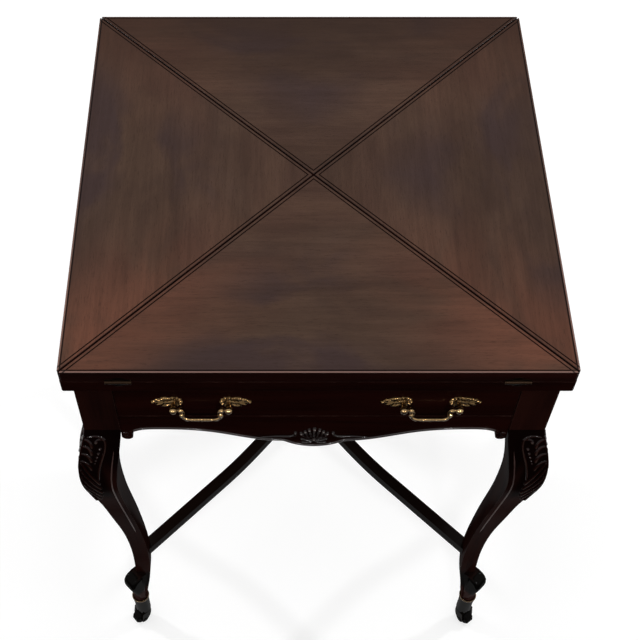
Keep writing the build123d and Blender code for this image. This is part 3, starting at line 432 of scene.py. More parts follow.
# The toe's paler edges: wear, and a painted highlight
toe_light, toe_edge_wear_and_highlight = colour(16, 12, 10), colour(50, 44, 40)
toe_mahogany = wood(
    "toe_mahogany", ALONG_Z, toe_black, toe_light, toe_edge_wear_and_highlight, polish=0.06, gloss=(0.08, 0.16), kind="leg"
)
bead_mahogany = wood(
    "bead_mahogany", ALONG_X, frame_dark, leg_light, frame_edge_wear_and_highlight, polish=1.0, gloss=(0.12, 0.22)
)
mahogany_rising = stretcher_wood("mahogany_rising", (0, 0, -45))
mahogany_falling = stretcher_wood("mahogany_falling", (0, 0, 45))
carved_mahogany = carved_wood("carved_mahogany", ALONG_Z, polish=0.3, kind="carving")
shell_mahogany = carved_wood("shell_mahogany", ALONG_X, polish=0.5, kind="shell")
# The leg beads are much paler than the leg: a painted highlight along them
leg_bead_highlight_dark, leg_bead_highlight_light = colour(74, 54, 52), colour(108, 84, 78)
bead_upright = wood("bead_upright", ALONG_Z, leg_bead_highlight_dark, leg_bead_highlight_light, frame_edge_wear_and_highlight, polish=0.3, gloss=satin)
secondary_across = plain_wood("secondary_across", ALONG_X)
secondary_deep = plain_wood("secondary_deep", ALONG_Y)
print(len(bpy.data.materials), "materials so far, with those of the floor and the card")

# %% [markdown]
# ## The top's faded polish
# The four leaves are browner and paler than the frame, because light has faded them. Their polish is reddish
# along the diagonal joints and the corners, and grey-blue in the middle of each leaf. The marks could be
# painted by hand, but each of them follows the joints or the edges, so the colour is mixed by the distance
# from these, and clouds of noise break it up.

# %% Faded polish, as a group
# Besides the fade, the group gives a painted highlight on the rims and painted shade in the grooves
fade_group, fade_in, fade_out = new_group(
    "faded_polish",
    [("Vector", "NodeSocketVector"), ("Along", "NodeSocketVector")],
    [(name, "NodeSocketFloat") for name in ("Red", "Bloom", "Cloud", "Shade", "CrestHighlight", "GrooveShade")],
)


def fade_sum(operation, first, second=0.0):
    """One sum on numbers of the fade group."""
    return calculate(fade_group, operation, first, second)


def clouds(scale, detail, seed):
    """Soft noise, twice as long as wide along the grain of the leaf."""
    place = add_node(
        fade_group,
        "ShaderNodeMapping",
        {"Vector": fade_in.outputs["Along"], "Location": seed, "Scale": (scale * 0.5, scale, scale)},
    )
    return noise(fade_group, place.outputs[0], 1.0, detail, distortion=0.4)


def line_mask(value, centre, half_width):
    """1 where value lies near centre, 0 beyond half_width from it."""
    distance = fade_sum("ABSOLUTE", fade_sum("SUBTRACT", value, centre))
    return spread(fade_group, distance, half_width, half_width * 0.4)


half_root = 0.7071
leaf_half = 0.2698
upper_level = 0.75
quirk_half = 0.0011
joint_quirk = 0.00455
edge_quirk = 0.00295
fade_place = add_node(fade_group, "ShaderNodeSeparateXYZ", {"Vector": fade_in.outputs["Vector"]}).outputs
fade_x = fade_sum("ABSOLUTE", fade_place["X"])
fade_y = fade_sum("ABSOLUTE", fade_place["Y"])
off_diagonal = fade_sum("ABSOLUTE", fade_sum("SUBTRACT", fade_x, fade_y))
outward = fade_sum("ADD", fade_x, fade_y)
front_side = spread(fade_group, fade_place["Y"], 0.1, -0.2, 0.35, 1.0)
near_joint = fade_sum(
    "MULTIPLY", spread(fade_group, off_diagonal, 0.2, 0.0), spread(fade_group, outward, 0.1, 0.5, 0.2, 1)
)
reddened = fade_sum("MULTIPLY", near_joint, front_side)
red_clouds = spread(fade_group, clouds(16, 4, (3, 1, 0)), 0.28, 0.6, 0.25, 1.0)
bloom_clouds = spread(fade_group, clouds(13, 4, (7, 4, 2)), 0.46, 0.66)
# The joints and the quirks beside them are made darker: painted shade in the grooves
joint_distance = fade_sum("MULTIPLY", off_diagonal, half_root)
edge_distance = fade_sum("SUBTRACT", leaf_half, fade_sum("MAXIMUM", fade_x, fade_y))
joint_line = spread(fade_group, joint_distance, 0.0018, 0.0010)
quirk_line = fade_sum(
    "MAXIMUM", line_mask(joint_distance, joint_quirk, quirk_half), line_mask(edge_distance, edge_quirk, quirk_half)
)
on_top = fade_sum("GREATER_THAN", fade_place["Z"], upper_level)
# A pale line along each leaf's rim, stronger at the front: a painted highlight
crest_highlight = fade_sum("MULTIPLY", spread(fade_group, edge_distance, 0.0021, 0.0014), on_top)
for label, value in {
    "Red": fade_sum("MULTIPLY", reddened, red_clouds),
    "Bloom": fade_sum("MULTIPLY", spread(fade_group, off_diagonal, 0.03, 0.14), bloom_clouds),
    "Cloud": spread(fade_group, clouds(22, 5, (1, 8, 3)), 0.3, 0.7),
    "Shade": spread(fade_group, fade_place["Y"], 0.12, 0.27, 0.0, 0.5),
    "CrestHighlight": fade_sum("MULTIPLY", crest_highlight, spread(fade_group, fade_place["Y"], 0.1, -0.2, 0.25, 0.9)),
    "GrooveShade": fade_sum("MULTIPLY", fade_sum("MAXIMUM", joint_line, quirk_line), on_top),
}.items():
    fade_group.links.new(value, fade_out.inputs[label])
print("the group of the faded polish gives", [socket.name for socket in fade_out.inputs if socket.name])


# %% Wood of the leaves
top_brown = colour(62, 45, 37)
top_light = colour(75, 56, 45)
top_red = colour(100, 62, 47)
top_bloom = colour(58, 43, 41)
top_dark = colour(37, 21, 13)
# Painted shade for the joints and quirks
top_groove_shade = colour(20, 9, 7)
# A painted highlight for the leaves' rims
top_crest_highlight = colour(124, 96, 88)


def leaf_wood(name, turn):
    """Faded mahogany for a leaf of the top, with its grain along the leaf's outer edge."""
    material, tree, shader = new_material(name)
    place, turned, grain = grain_along(tree, turn)
    fade = add_node(tree, "ShaderNodeGroup", {"Vector": place, "Along": turned}, node_tree=fade_group).outputs
    clouded = mix(tree, fade["Cloud"], top_brown, top_light)
    reddened = mix(tree, fade["Red"], clouded, top_red)
    bloomed = mix(tree, fade["Bloom"], reddened, top_bloom)
    ribboned = mix(tree, spread(tree, grain["Ribbons"], 0, 1, 0.3, 0.0), bloomed, top_dark)
    lined = mix(tree, spread(tree, grain["Lines"], 0, 1, 0.2, 0.0), ribboned, top_dark)
    pored = mix(tree, spread(tree, grain["Pores"], 0, 1, 0.0, 0.4), lined, top_dark)
    shaded = mix(tree, fade["Shade"], pored, top_dark)
    crest_highlighted = mix(tree, fade["CrestHighlight"], shaded, top_crest_highlight)
    groove_shaded = mix(tree, calculate(tree, "MULTIPLY", fade["GrooveShade"], 0.9), crest_highlighted, top_groove_shade)
    # The leaf's narrow sides keep the frame's colour
    normal = tree.nodes.new("ShaderNodeNewGeometry").outputs["Normal"]
    side = add_node(tree, "ShaderNodeSeparateXYZ", {"Vector": normal})
    flat_up = spread(tree, calculate(tree, "ABSOLUTE", side.outputs["Z"]), 0.4, 0.8)
    edge_wood = mix(tree, grain["Ribbons"], frame_dark, frame_light)
    tree.links.new(mix(tree, flat_up, edge_wood, groove_shaded), shader.inputs["Base Color"])
    tree.links.new(spread(tree, fade["Cloud"], 0, 1, 0.4, 0.5), shader.inputs["Roughness"])
    shader.inputs["Specular IOR Level"].default_value = 0.0
    shader.inputs["Coat Weight"].default_value = 0.2
    shader.inputs["Coat Roughness"].default_value = 0.3
    sink_pores(tree, shader, grain, soft_edges(tree, 0.0007), 0.2)
    return material


leaf_across = leaf_wood("leaf_across", ALONG_X)
leaf_deep = leaf_wood("leaf_deep", ALONG_Y)
print("leaf woods:", leaf_across.name, "and", leaf_deep.name)

# %% [markdown]
# ## Metals
# The drawer handles are gilt brass: bright on the raised parts and brown in the hollows, where the polishing
# cloth does not reach. The hinges are dull old brass, and the casters have gone almost black. The dirt could
# be painted on each piece, but ambient occlusion finds the hollows of all of them by itself.


# %% Metal materials
def metal(name, bright, dull, roughness, hollow=0.5, lacquer=0.0):
    """Old metal, dull in its hollows; one with a lacquer is so dark that only the lacquer shines."""
    material, tree, shader = new_material(name)
    place = add_node(tree, "ShaderNodeTexCoord").outputs["Object"]
    tarnish = noise(tree, place, 45.0, 5.0)
    edges = soft_edges(tree, fine_edge)
    depth = add_node(tree, "ShaderNodeAmbientOcclusion", {"Distance": 0.0025}, samples=6).outputs["AO"]
    dirt = spread(tree, depth, 0.45, 0.92, hollow, 0.0)
    clouded = calculate(tree, "MULTIPLY", spread(tree, tarnish, 0.42, 0.75), 0.6)
    dulled = calculate(tree, "MAXIMUM", dirt, clouded)
    base = mix(tree, dulled, bright, dull)
    rubbed = mix(tree, calculate(tree, "MULTIPLY", edges["Edge"], 0.5), base, bright)
    tree.links.new(rubbed, shader.inputs["Base Color"])
    tree.links.new(spread(tree, dulled, 0, 1, roughness[0], roughness[1]), shader.inputs["Roughness"])
    tree.links.new(edges["Normal"], shader.inputs["Normal"])
    shader.inputs["Metallic"].default_value = 0.0 if lacquer else 1.0
    if lacquer:
        shader.inputs["Specular IOR Level"].default_value = 0.0
        shader.inputs["Coat Weight"].default_value = lacquer
        shader.inputs["Coat Roughness"].default_value = roughness[0]
    return material


gilt_brass = metal("gilt_brass", colour(158, 130, 92), colour(34, 20, 10), (0.08, 0.34), hollow=0.98)
rose_brass = metal("rose_brass", colour(114, 90, 58), colour(28, 17, 8), (0.1, 0.3), hollow=0.98)
hinge_brass = metal("old_hinge_brass", colour(40, 29, 21), colour(18, 11, 8), (0.3, 0.55))
caster_brass = metal("blackened_brass", colour(16, 13, 10), colour(6, 5, 4), (0.06, 0.14), hollow=0.8, lacquer=0.12)
collar_brass = metal("collar_brass", colour(84, 68, 50), colour(40, 28, 20), (0.25, 0.45), hollow=0.7)
dull_steel = metal("dull_steel", colour(150, 148, 144), colour(70, 64, 58), (0.3, 0.5))
wheel_black = metal("caster_wheel", colour(13, 11, 10), colour(6, 5, 5), (0.08, 0.16), lacquer=0.05)
metals = (gilt_brass, rose_brass, hinge_brass, caster_brass, collar_brass, dull_steel, wheel_black)
print("metals:", [material.name for material in metals])

# %% [markdown]
# ## Dress the CAD parts
# Each solid of the CAD model keeps its shape and gets the material of the thing it stands for. Materials
# could be chosen by the words in the names, but a plain list shows at once which board runs which way.

# %% Give every solid its material
finishes = {
    mahogany_across: "front_apron back_apron front_top_rail drawer_front bed_board stop_peg",
    mahogany_deep: "left_apron right_apron",
    mahogany_upright: "leg_front_left leg_front_right leg_back_left leg_back_right",
    mahogany_rising: "stretcher_under",
    mahogany_falling: "stretcher_over",
    leaf_across: "leaf_front leaf_back",
    leaf_deep: "leaf_left leaf_right",
    secondary_across: "sub_top drawer_back glue_blocks drawer_stops",
    secondary_deep: "drawer_runners drawer_side_left drawer_side_right drawer_bottom",
    hinge_brass: "bed_hinge_plates leaf_front_hinge_plates leaf_right_hinge_plates leaf_back_hinge_plates"
    " leaf_left_hinge_plates hinge_pins pivot_bush",
    gilt_brass: "handle_roses handle_posts handle_nuts bail_left bail_right",
    caster_brass: "caster_cups caster_horn_front_right caster_horn_back_right caster_horn_back_left"
    " caster_horn_front_left",
    wheel_black: "caster_wheel_front_right caster_wheel_back_right caster_wheel_back_left caster_wheel_front_left",
    dull_steel: "pivot_plate pivot_bolt pivot_washer pivot_nut pivot_screws",
}
for material, names in finishes.items():
    for name in names.split():
        nodes[name].data.materials.clear()
        nodes[name].data.materials.append(material)
dressed = {name for names in finishes.values() for name in names.split()}
print("dressed", len(dressed), "solids; left for pieces of their own:", sorted(set(nodes) - dressed))

# %% [markdown]
# ## Baize
# Opened out, the table is a square of green baize: one piece on the fixed bed and a triangle on each leaf's
# underside. Baize is a felted wool cloth glued down flat, so each piece is a thin sheet with a soft nap. It
# hangs nowhere free, so nothing is simulated: the sheet takes the shape of the recess that it lies in.

# %% Baize cloth
baize_material, baize_tree, baize_shader = new_material("green_baize")
baize_place = add_node(baize_tree, "ShaderNodeTexCoord").outputs["Object"]
nap = noise(baize_tree, baize_place, 900.0, 3.0)
wear = noise(baize_tree, baize_place, 7.0, 4.0)
cloth_green = mix(baize_tree, spread(baize_tree, wear, 0.3, 0.7), colour(34, 66, 40), colour(52, 84, 50))
fuzzy = mix(baize_tree, spread(baize_tree, nap, 0.35, 0.7, 0.0, 0.45), cloth_green, colour(78, 108, 70))
baize_tree.links.new(fuzzy, baize_shader.inputs["Base Color"])
baize_shader.inputs["Roughness"].default_value = 0.95
baize_shader.inputs["Specular IOR Level"].default_value = 0.2
baize_shader.inputs["Sheen Weight"].default_value = 0.3
baize_bump = add_node(baize_tree, "ShaderNodeBump", {"Height": nap, "Strength": 0.5, "Distance": 0.0004})
baize_tree.links.new(baize_bump.outputs[0], baize_shader.inputs["Normal"])
print("cloth material:", baize_material.name)


# %% Turn a mesh into a piece of the table
def finish_piece(name, bm, material, body, stands_for=()):
    """Makes an object of a bmesh, gives it a material and a body, and hides the solids that it replaces."""
    mesh = bpy.data.meshes.new(name)
    bm.to_mesh(mesh)
    bm.free()
    mesh.materials.append(material)
    piece = bpy.data.objects.new(name, mesh)
    bpy.context.collection.objects.link(piece)
    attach(piece, body)
    if stands_for:
        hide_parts(*stands_for)
    return piece


same_place = 0.00001


def rebuilt_solid(node):
    """A bmesh copy of a CAD solid, whose loose triangles are joined and whose flat faces are made whole."""
    bm = bmesh.new()
    bm.from_mesh(nodes[node].data)
    bmesh.ops.remove_doubles(bm, verts=bm.verts, dist=same_place)
    bmesh.ops.dissolve_limit(bm, angle_limit=radians(1), verts=bm.verts, edges=bm.edges)
    return bm


# %% Baize sheets
for node, body, carrier in (
    ("bed_baize", "top", "bed_board"),
    ("leaf_front_baize", "front_leaf", "leaf_front"),
    ("leaf_right_baize", "right_leaf", "leaf_right"),
    ("leaf_back_baize", "back_leaf", "leaf_back"),
    ("leaf_left_baize", "left_leaf", "leaf_left"),
):
    cloth_bm = rebuilt_solid(node)
    top_area = sum(face.calc_area() for face in cloth_bm.faces if face.normal.z > 0.9)
    cloth = finish_piece(node + "_cloth", cloth_bm, baize_material, body, [node])

# %% [markdown]
# ## Carving
# Carved ornament is a relief: a low landscape of rounded ribs, pearls and leaf lobes. Each rib is written as
# a stroke, which is a smooth curve with a width and a height at each end. A fine grid is raised to the
# highest stroke above it, cells that no stroke reaches are cut away, and the rest is laid on the wood. Its
# rim lies below the wood's surface, so only the strokes come out of it, as on a real carving. Sculpting by
# hand would look as good, but strokes can be mirrored, repeated and corrected by a number.

# %% Strokes and reliefs
mm = 0.001
sample_step = 0.6
fewest_samples = 14
relief_wall = 0.4
hair = 0.001


def pearl(u, v, radius, height):
    """A round bead of a carving, as a stroke of no length."""
    return ((u, v), (u, v), (u, v), (u, v), radius, radius, height, height)


def rib(start, bend, end, widths, heights):
    """A rib from start to end that leans towards the point bend; widths and heights are at its two ends."""
    first = tuple(a + (b - a) * 2 / 3 for a, b in zip(start, bend))
    second = tuple(a + (b - a) * 2 / 3 for a, b in zip(end, bend))
    return (start, first, second, end, widths[0], widths[1], heights[0], heights[1])


def mirrored(strokes):
    """The same strokes on the other side of the middle line."""
    flipped = [tuple((-p[0], p[1]) for p in stroke[:4]) + stroke[4:] for stroke in strokes]
    return [*strokes, *flipped]


def carved_height(points, strokes, sunk):
    """The height of a carving at many points, in mm: half-round strokes over a ground sunk that deep."""
    height = np.full(len(points), -sunk)
    for *curve, start_width, end_width, start_height, end_height in strokes:
        reach = sum((Vector(b) - Vector(a)).length for a, b in zip(curve, curve[1:]))
        count = max(fewest_samples, int(reach / sample_step))
        samples = interpolate_bezier(*[Vector(p) for p in curve], count) if reach else [Vector(curve[0])]
        for index, sample in enumerate(samples):
            along = index / max(len(samples) - 1, 1)
            width = start_width + (end_width - start_width) * along
            top = start_height + (end_height - start_height) * along
            away = ((points - np.array(sample)) ** 2).sum(1) / width**2
            dome = np.sqrt(np.clip(1 - away, 0, 1)) * (top + sunk) - sunk
            height = np.maximum(height, dome)
    return height


def relief(strokes, width, depth, centre, step, sunk=0.8):
    """A closed relief in its own plane, in mm: X and Y across the carving, Z is its height."""
    bm = bmesh.new()
    bmesh.ops.create_grid(bm, x_segments=int(width / step), y_segments=int(depth / step), size=0.5)
    bmesh.ops.scale(bm, vec=(width, depth, 1), verts=bm.verts)
    bmesh.ops.translate(bm, vec=(*centre, -sunk - relief_wall), verts=bm.verts)
    lift = bm.verts.layers.float.new("lift")
    heights = carved_height(np.array([v.co[:2] for v in bm.verts]), strokes, sunk)
    bm.verts.index_update()
    bare = [face for face in bm.faces if all(heights[v.index] <= -sunk + hair for v in face.verts)]
    bmesh.ops.delete(bm, geom=bare, context="FACES")
    skin = bmesh.ops.extrude_face_region(bm, geom=bm.faces[:], use_keep_orig=True)["geom"]
    raised = [v for v in skin if isinstance(v, bmesh.types.BMVert)]
    heights = carved_height(np.array([v.co[:2] for v in raised]), strokes, sunk)
    for vert, height in zip(raised, heights):
        vert.co.z = height
        vert[lift] = (height + sunk) / (heights.max() + sunk)
    bmesh.ops.recalc_face_normals(bm, faces=bm.faces)
    return bm


def lay(bm, place):
    """Moves a flat relief on to the object; place turns its (across, up, height) in mm into a point in metres."""
    for vert in bm.verts:
        vert.co = place(*vert.co)
    bmesh.ops.recalc_face_normals(bm, faces=bm.faces)
    for face in bm.faces:
        face.smooth = True
    return bm


def solid_surface(node):
    """A CAD solid as a surface that rays can be cast at."""
    return BVHTree.FromPolygons(
        [v.co[:] for v in nodes[node].data.vertices], [p.vertices[:] for p in nodes[node].data.polygons]
    )


print("a carving's stroke is sampled every", sample_step, "mm")

# %% [markdown]
# ## Acanthus on the knees
# Each cabriole leg has a carved knee that wraps its outer corner: a scroll with a row of pearls at the top,
# and long ribs of an acanthus leaf that sweep down to a tip. One side is written down and mirrored over the
# corner. The leg's curve could be written down again here, but rays cast at the CAD solid find it exactly.

# %% Strokes of the knee
knee_side = [
    rib((5, 604), (17, 609), (24, 600), (1.6, 2.0), (0.9, 1.6)),
    rib((24, 600), (30, 588), (26.5, 566), (2.0, 2.0), (1.6, 1.8)),
    rib((26.5, 566), (23.5, 545), (21.5, 524), (2.0, 1.5), (1.8, 1.4)),
    rib((24, 600), (16, 603), (15, 596), (1.8, 1.4), (1.6, 1.2)),
    pearl(15.5, 596, 2.6, 2.1),
    pearl(21.8, 585, 2.2, 1.9),
    pearl(21.2, 577.5, 2.0, 1.8),
    pearl(20.4, 570.8, 1.8, 1.7),
    pearl(19.6, 564.8, 1.6, 1.5),
    pearl(18.9, 559.5, 1.4, 1.3),
    rib((2, 600), (8, 598), (12, 588), (2.2, 2.2), (0.9, 1.8)),
    rib((2, 589), (9, 588), (13.5, 577), (2.2, 2.3), (0.9, 1.9)),
    rib((2, 577), (10, 577), (14.5, 564), (2.2, 2.3), (0.9, 1.9)),
    rib((2, 564), (10, 563), (15, 548), (2.0, 2.2), (0.9, 1.8)),
    rib((2.5, 560), (9, 548), (20.5, 512), (1.5, 1.9), (1.0, 1.9)),
    rib((2.5, 546), (8, 530), (18.5, 497), (1.4, 1.9), (1.0, 1.9)),
    rib((2.2, 530), (6, 512), (15.8, 481), (1.4, 1.9), (1.0, 1.9)),
    rib((2.0, 512), (4.5, 494), (11.5, 467), (1.3, 1.9), (1.0, 1.9)),
    rib((1.6, 494), (3, 478), (7, 456), (1.3, 1.8), (1.0, 1.8)),
]
knee_spine = [
    rib((0, 604), (0, 592), (0, 578), (2.6, 1.8), (0.7, 1.3)),
    rib((0, 586), (0, 570), (0, 552), (2.4, 1.5), (0.8, 1.2)),
    rib((0, 560), (0, 520), (0, 470), (1.8, 1.6), (0.9, 1.2)),
    rib((0, 480), (0, 465), (0, 450), (1.6, 2.4), (1.2, 1.9)),
]
knee_strokes = mirrored(knee_side) + knee_spine
print("the knee has", len(knee_strokes), "strokes")

# %% Carved knees
corners = [("front_left", -1, -1), ("front_right", 1, -1), ("back_left", -1, 1), ("back_right", 1, 1)]
corner_round = 6.0
outside_table = 0.4
leg_line = 0.244


def leg_reach(surface, x_side, y_side, level):
    """How far out a leg reaches at a level in mm, found by a ray from outside the table; in metres."""
    start = Vector((x_side * outside_table, y_side * leg_line, level * mm))
    return abs(surface.ray_cast(start, Vector((-x_side, 0, 0)))[0].x)


def knee_place(leg, x_side, y_side):
    """Places a knee carving round the outer corner of a leg on that side of the table."""
    surface = solid_surface(leg)
    reach_at = {}

    def reach(z):
        key = round(z * 4)
        if key not in reach_at:
            reach_at[key] = leg_reach(surface, x_side, y_side, z)
        return reach_at[key]

    def place(u, z, height):
        outer = reach(z)
        turn = radians(45 + 45 * max(-1, min(1, u / corner_round)))
        x = outer - max(u, 0) * mm + cos(turn) * height * mm
        y = outer - max(-u, 0) * mm + sin(turn) * height * mm
        return Vector((x_side * x, y_side * y, z * mm))

    return place


knee_relief = relief(knee_strokes, width=66, depth=164, centre=(0, 528), step=0.8)
for corner, x_side, y_side in corners:
    carving = lay(knee_relief.copy(), knee_place("leg_" + corner, x_side, y_side))
    finish_piece("knee_carving_" + corner, carving, carved_mahogany, "frame")
print("four carved knees of", len(knee_relief.faces), "faces each")
knee_relief.free()

# %% [markdown]
# ## Shells on the aprons
# In the middle of each apron, just above its lobe, sits a small scallop shell: seven flutes that end in
# pearls, with the apron's bead curling up to it from both sides. One relief is made as for the knees, and the
# same relief is turned to all four sides.

# %% Strokes of the shell
shell_side = [
    rib((2.2, 596), (4.2, 603), (5.2, 611.5), (1.2, 1.9), (1.4, 2.3)),
    rib((3.4, 595), (7.2, 600), (9.4, 608.2), (1.2, 1.9), (1.4, 2.3)),
    rib((4, 593.5), (10, 596.5), (13.4, 603.8), (1.2, 1.9), (1.4, 2.3)),
    pearl(5.8, 614.8, 2.2, 3.1),
    pearl(10.4, 611.4, 2.2, 3.1),
    pearl(14.9, 607.0, 2.2, 3.1),
    rib((3, 589.5), (9, 588), (14, 593), (1.4, 1.8), (1.2, 1.9)),
    rib((2, 586), (7, 582.5), (13, 585), (1.3, 1.6), (1.0, 1.6)),
    rib((60, 596.3), (44, 599.5), (31, 598.8), (1.5, 1.6), (1.1, 1.7)),
    rib((31, 598.8), (22, 599), (21.2, 606), (1.6, 1.7), (1.7, 2.1)),
    pearl(21.4, 607.5, 2.2, 2.6),
]
shell_middle = [
    rib((0, 596), (0, 604), (0, 613), (1.3, 2.0), (1.5, 2.4)),
    pearl(0, 617, 2.5, 3.2),
    pearl(0, 593.5, 3.2, 2.8),
    rib((0, 590), (0, 586), (0, 581), (2.0, 1.2), (1.6, 1.0)),
    pearl(0, 601, 11, 0.5),
    pearl(8, 601, 8, 0.4),
    pearl(-8, 601, 8, 0.4),
]
shell_strokes = mirrored(shell_side) + shell_middle
print("the shell has", len(shell_strokes), "strokes")

# %% Carved shells
strip_proud = 1.2
apron_face = -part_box("front_apron")[0].y / mm - strip_proud


def quarter_turn(turns):
    """The turn that brings a piece of the front to another side of the table."""
    return Matrix.Rotation(turns * pi / 2, 3, "Z")


shell_relief = relief(shell_strokes, width=128, depth=44, centre=(0, 599), step=0.6)
for side, turns in (("front", 0), ("right", 1), ("back", 2), ("left", 3)):
    facing_out = quarter_turn(turns)

    def shell_place(u, z, height):
        return facing_out @ Vector((u * mm, -(apron_face + height) * mm, z * mm))

    carving = lay(shell_relief.copy(), shell_place)
    finish_piece("shell_" + side, carving, shell_mahogany, "frame")
print("shell:", len(shell_relief.faces), "faces, on the apron's face", round(apron_face, 2), "mm out")
shell_relief.free()

# %% [markdown]
# ## Drawer handles
# Each handle is a cast brass bail between two roses. A rose is a shell of ribs round the post, with a leafy arm
# that ends in a small ball. The bail is one bar of changing thickness: knobs beside the pivots, a scroll, and
# a row of beads along the grip. It could be lathed in parts, but a curve with a radius at each point bends and
# swells in one go, and is then turned into a mesh.

# %% Strokes of the roses
drawer_face = 258.0
rose_level = 677.5
handle_middle = 125.0
post_up = 29.5
fan_turns = [radians(33), radians(66), radians(99)]


def fan(radius, turn):
    """A point of the rose's fan, that far from the post and turned that much from straight down."""
    return (radius * sin(turn), post_up - radius * cos(turn))


rose_side = [
    *[rib(fan(3, turn), fan(5.5, turn), fan(7.6, turn), (0.8, 1.7), (1.5, 2.4)) for turn in fan_turns],
    *[pearl(*fan(8.2, turn), 1.6, 2.5) for turn in fan_turns],
    rib((5.5, 34), (8.6, 37.5), (6.4, 42.5), (1.5, 1.8), (1.8, 2.7)),
    rib((6.4, 42.5), (4.6, 44), (3.6, 41.6), (1.7, 1.2), (2.6, 2.2)),
    rib((1.6, 40), (4.8, 45), (4.2, 48.4), (1.3, 1.5), (1.7, 2.4)),
    rib((4.2, 48.4), (3.0, 50), (2.2, 48), (1.4, 1.0), (2.3, 1.9)),
    rib((1.0, 46), (2.2, 49), (1.4, 51.5), (1.0, 1.0), (1.6, 1.9)),
    rib((0.5, 36), (4.0, 37.5), (5.0, 40), (1.2, 1.4), (1.5, 2.0)),
]
rose_middle = [
    rib((0, 27), (0, 24), (0, 21.9), (0.8, 1.7), (1.5, 2.4)),
    pearl(0, 21.3, 1.6, 2.5),
    pearl(0, post_up, 8.6, 1.1),
    pearl(0, 30, 4.0, 3.0),
    pearl(0, 39, 5.6, 1.2),
    pearl(0, 44.5, 4.4, 1.2),
    rib((0, 34), (0, 44), (0, 51), (1.9, 1.2), (2.3, 2.1)),
    pearl(0, 53.0, 2.0, 2.9),
]
rose_strokes = mirrored(rose_side) + rose_middle
print("a rose has", len(rose_strokes), "strokes")


# %% Cast roses
def joined(parts):
    """One bmesh with all the parts in it."""
    whole = bmesh.new()
    for part in parts:
        mesh = bpy.data.meshes.new("part")
        part.to_mesh(mesh)
        part.free()
        whole.from_mesh(mesh)
        bpy.data.meshes.remove(mesh)
    return whole


def rose_place(middle, side):
    """Places a rose on the drawer's face: its strokes run from the handle's middle outwards."""

    def place(up, out, height):
        return Vector(((middle + side * out) * mm, -(drawer_face + max(height, 0)) * mm, (rose_level + up) * mm))

    return place


rose_relief = relief(rose_strokes, width=22, depth=38, centre=(0, 37), step=0.5, sunk=0.0)
roses = [
    lay(rose_relief.copy(), rose_place(middle, side)) for middle in (-handle_middle, handle_middle) for side in (-1, 1)
]
print("four roses of", len(rose_relief.faces), "faces each")
rose_relief.free()
finish_piece("cast_roses", joined(roses), rose_brass, "drawer", ["handle_roses"])


# %% Cast bails
def turned_bar(points):
    """A round bar along points of (x, y, z, radius) in mm, as a bmesh."""
    data = bpy.data.curves.new("bar", "CURVE")
    data.dimensions = "3D"
    data.bevel_depth = mm
    data.bevel_resolution = 4
    data.use_fill_caps = True
    spline = data.splines.new("NURBS")
    spline.points.add(len(points) - 1)
    for point, (x, y, z, radius) in zip(spline.points, points):
        point.co = (x * mm, y * mm, z * mm, 1)
        point.radius = radius
    spline.order_u = 3
    spline.use_endpoint_u = True
    spline.resolution_u = 4
    bar = bpy.data.objects.new("bar", data)
    bpy.context.collection.objects.link(bar)
    mesh = bpy.data.meshes.new_from_object(bar.evaluated_get(bpy.context.evaluated_depsgraph_get()))
    bm = bmesh.new()
    bm.from_mesh(mesh)
    bpy.data.objects.remove(bar)
    bpy.data.meshes.remove(mesh)
    bmesh.ops.remove_doubles(bm, verts=bm.verts, dist=same_place)
    bmesh.ops.recalc_face_normals(bm, faces=bm.faces)
    for face in bm.faces:
        face.smooth = True
    return bm


def ball(place, radius, scale=(1, 1, 1)):
    """A smooth ball at a place in mm; scale flattens it along an axis."""
    bm = bmesh.new()
    bmesh.ops.create_uvsphere(bm, u_segments=16, v_segments=10, radius=radius * mm)
    bmesh.ops.scale(bm, vec=scale, verts=bm.verts)
    bmesh.ops.translate(bm, vec=[v * mm for v in place], verts=bm.verts)
    for face in bm.faces:
        face.smooth = True
    return bm


bail_arm = [
    (28.6, 0, 1.5),
    (25.2, 0, 1.5),
    (24.6, 0, 2.2),
    (23.6, 0, 3.3),
    (22.0, 0, 3.5),
    (20.6, -0.8, 2.6),
    (19.4, -2.6, 1.5),
    (18.8, -4.8, 1.5),
    (19.2, -7.0, 1.7),
    (20.6, -9.2, 3.4),
    (21.8, -11.2, 2.9),
    (21.6, -13.6, 1.6),
    (20.0, -16.2, 1.7),
    (17.2, -18.6, 2.1),
    (14.0, -20.0, 2.2),
    (11.8, -20.0, 1.1),
]
grip_drop = 20.0
half_bail = [*bail_arm, (0, -grip_drop, 1.1)]
whole_bail = half_bail[:-1] + [(-u, v, radius) for u, v, radius in reversed(half_bail)]
grip_beads = [3.6 * n for n in range(-3, 4)]
bead_of_grip = 2.3
drop_ball = 1.4
drop_below = 22.9
bail_out = 269.4
for side, middle in (("left", -handle_middle), ("right", handle_middle)):
    bail = turned_bar([(middle + u, -bail_out, rose_level + v, radius) for u, v, radius in whole_bail])
    drop = ball((middle, -bail_out, rose_level - drop_below), drop_ball)
    beads = [ball((middle + along, -bail_out, rose_level - grip_drop), bead_of_grip) for along in grip_beads]
    piece = joined([bail, drop, *beads])
    print("bail", side, "has", len(piece.faces), "faces")
    finish_piece("cast_bail_" + side, piece, gilt_brass, "handle_" + side, ["bail_" + side])

# %% [markdown]
# ## Beads along the aprons
# A round, brightly rubbed bead follows the shaped lower edge of every apron. It lies over the flat strip that
# the CAD model has there. Its course could be traced by eye, but rays cast up at that strip find it exactly.

# %% Apron beads
bead_radius = 1.9
bead_out = apron_face + 0.3
bead_end = 204
strip_half = 1.6
apron_surface = solid_surface("front_apron")


def strip_edge(x):
    """The level of the apron's lower edge at x; both in mm."""
    below = Vector((x * mm, -(apron_face + strip_proud / 2) * mm, 0.5))
    return apron_surface.ray_cast(below, Vector((0, 0, 1)))[0].z / mm


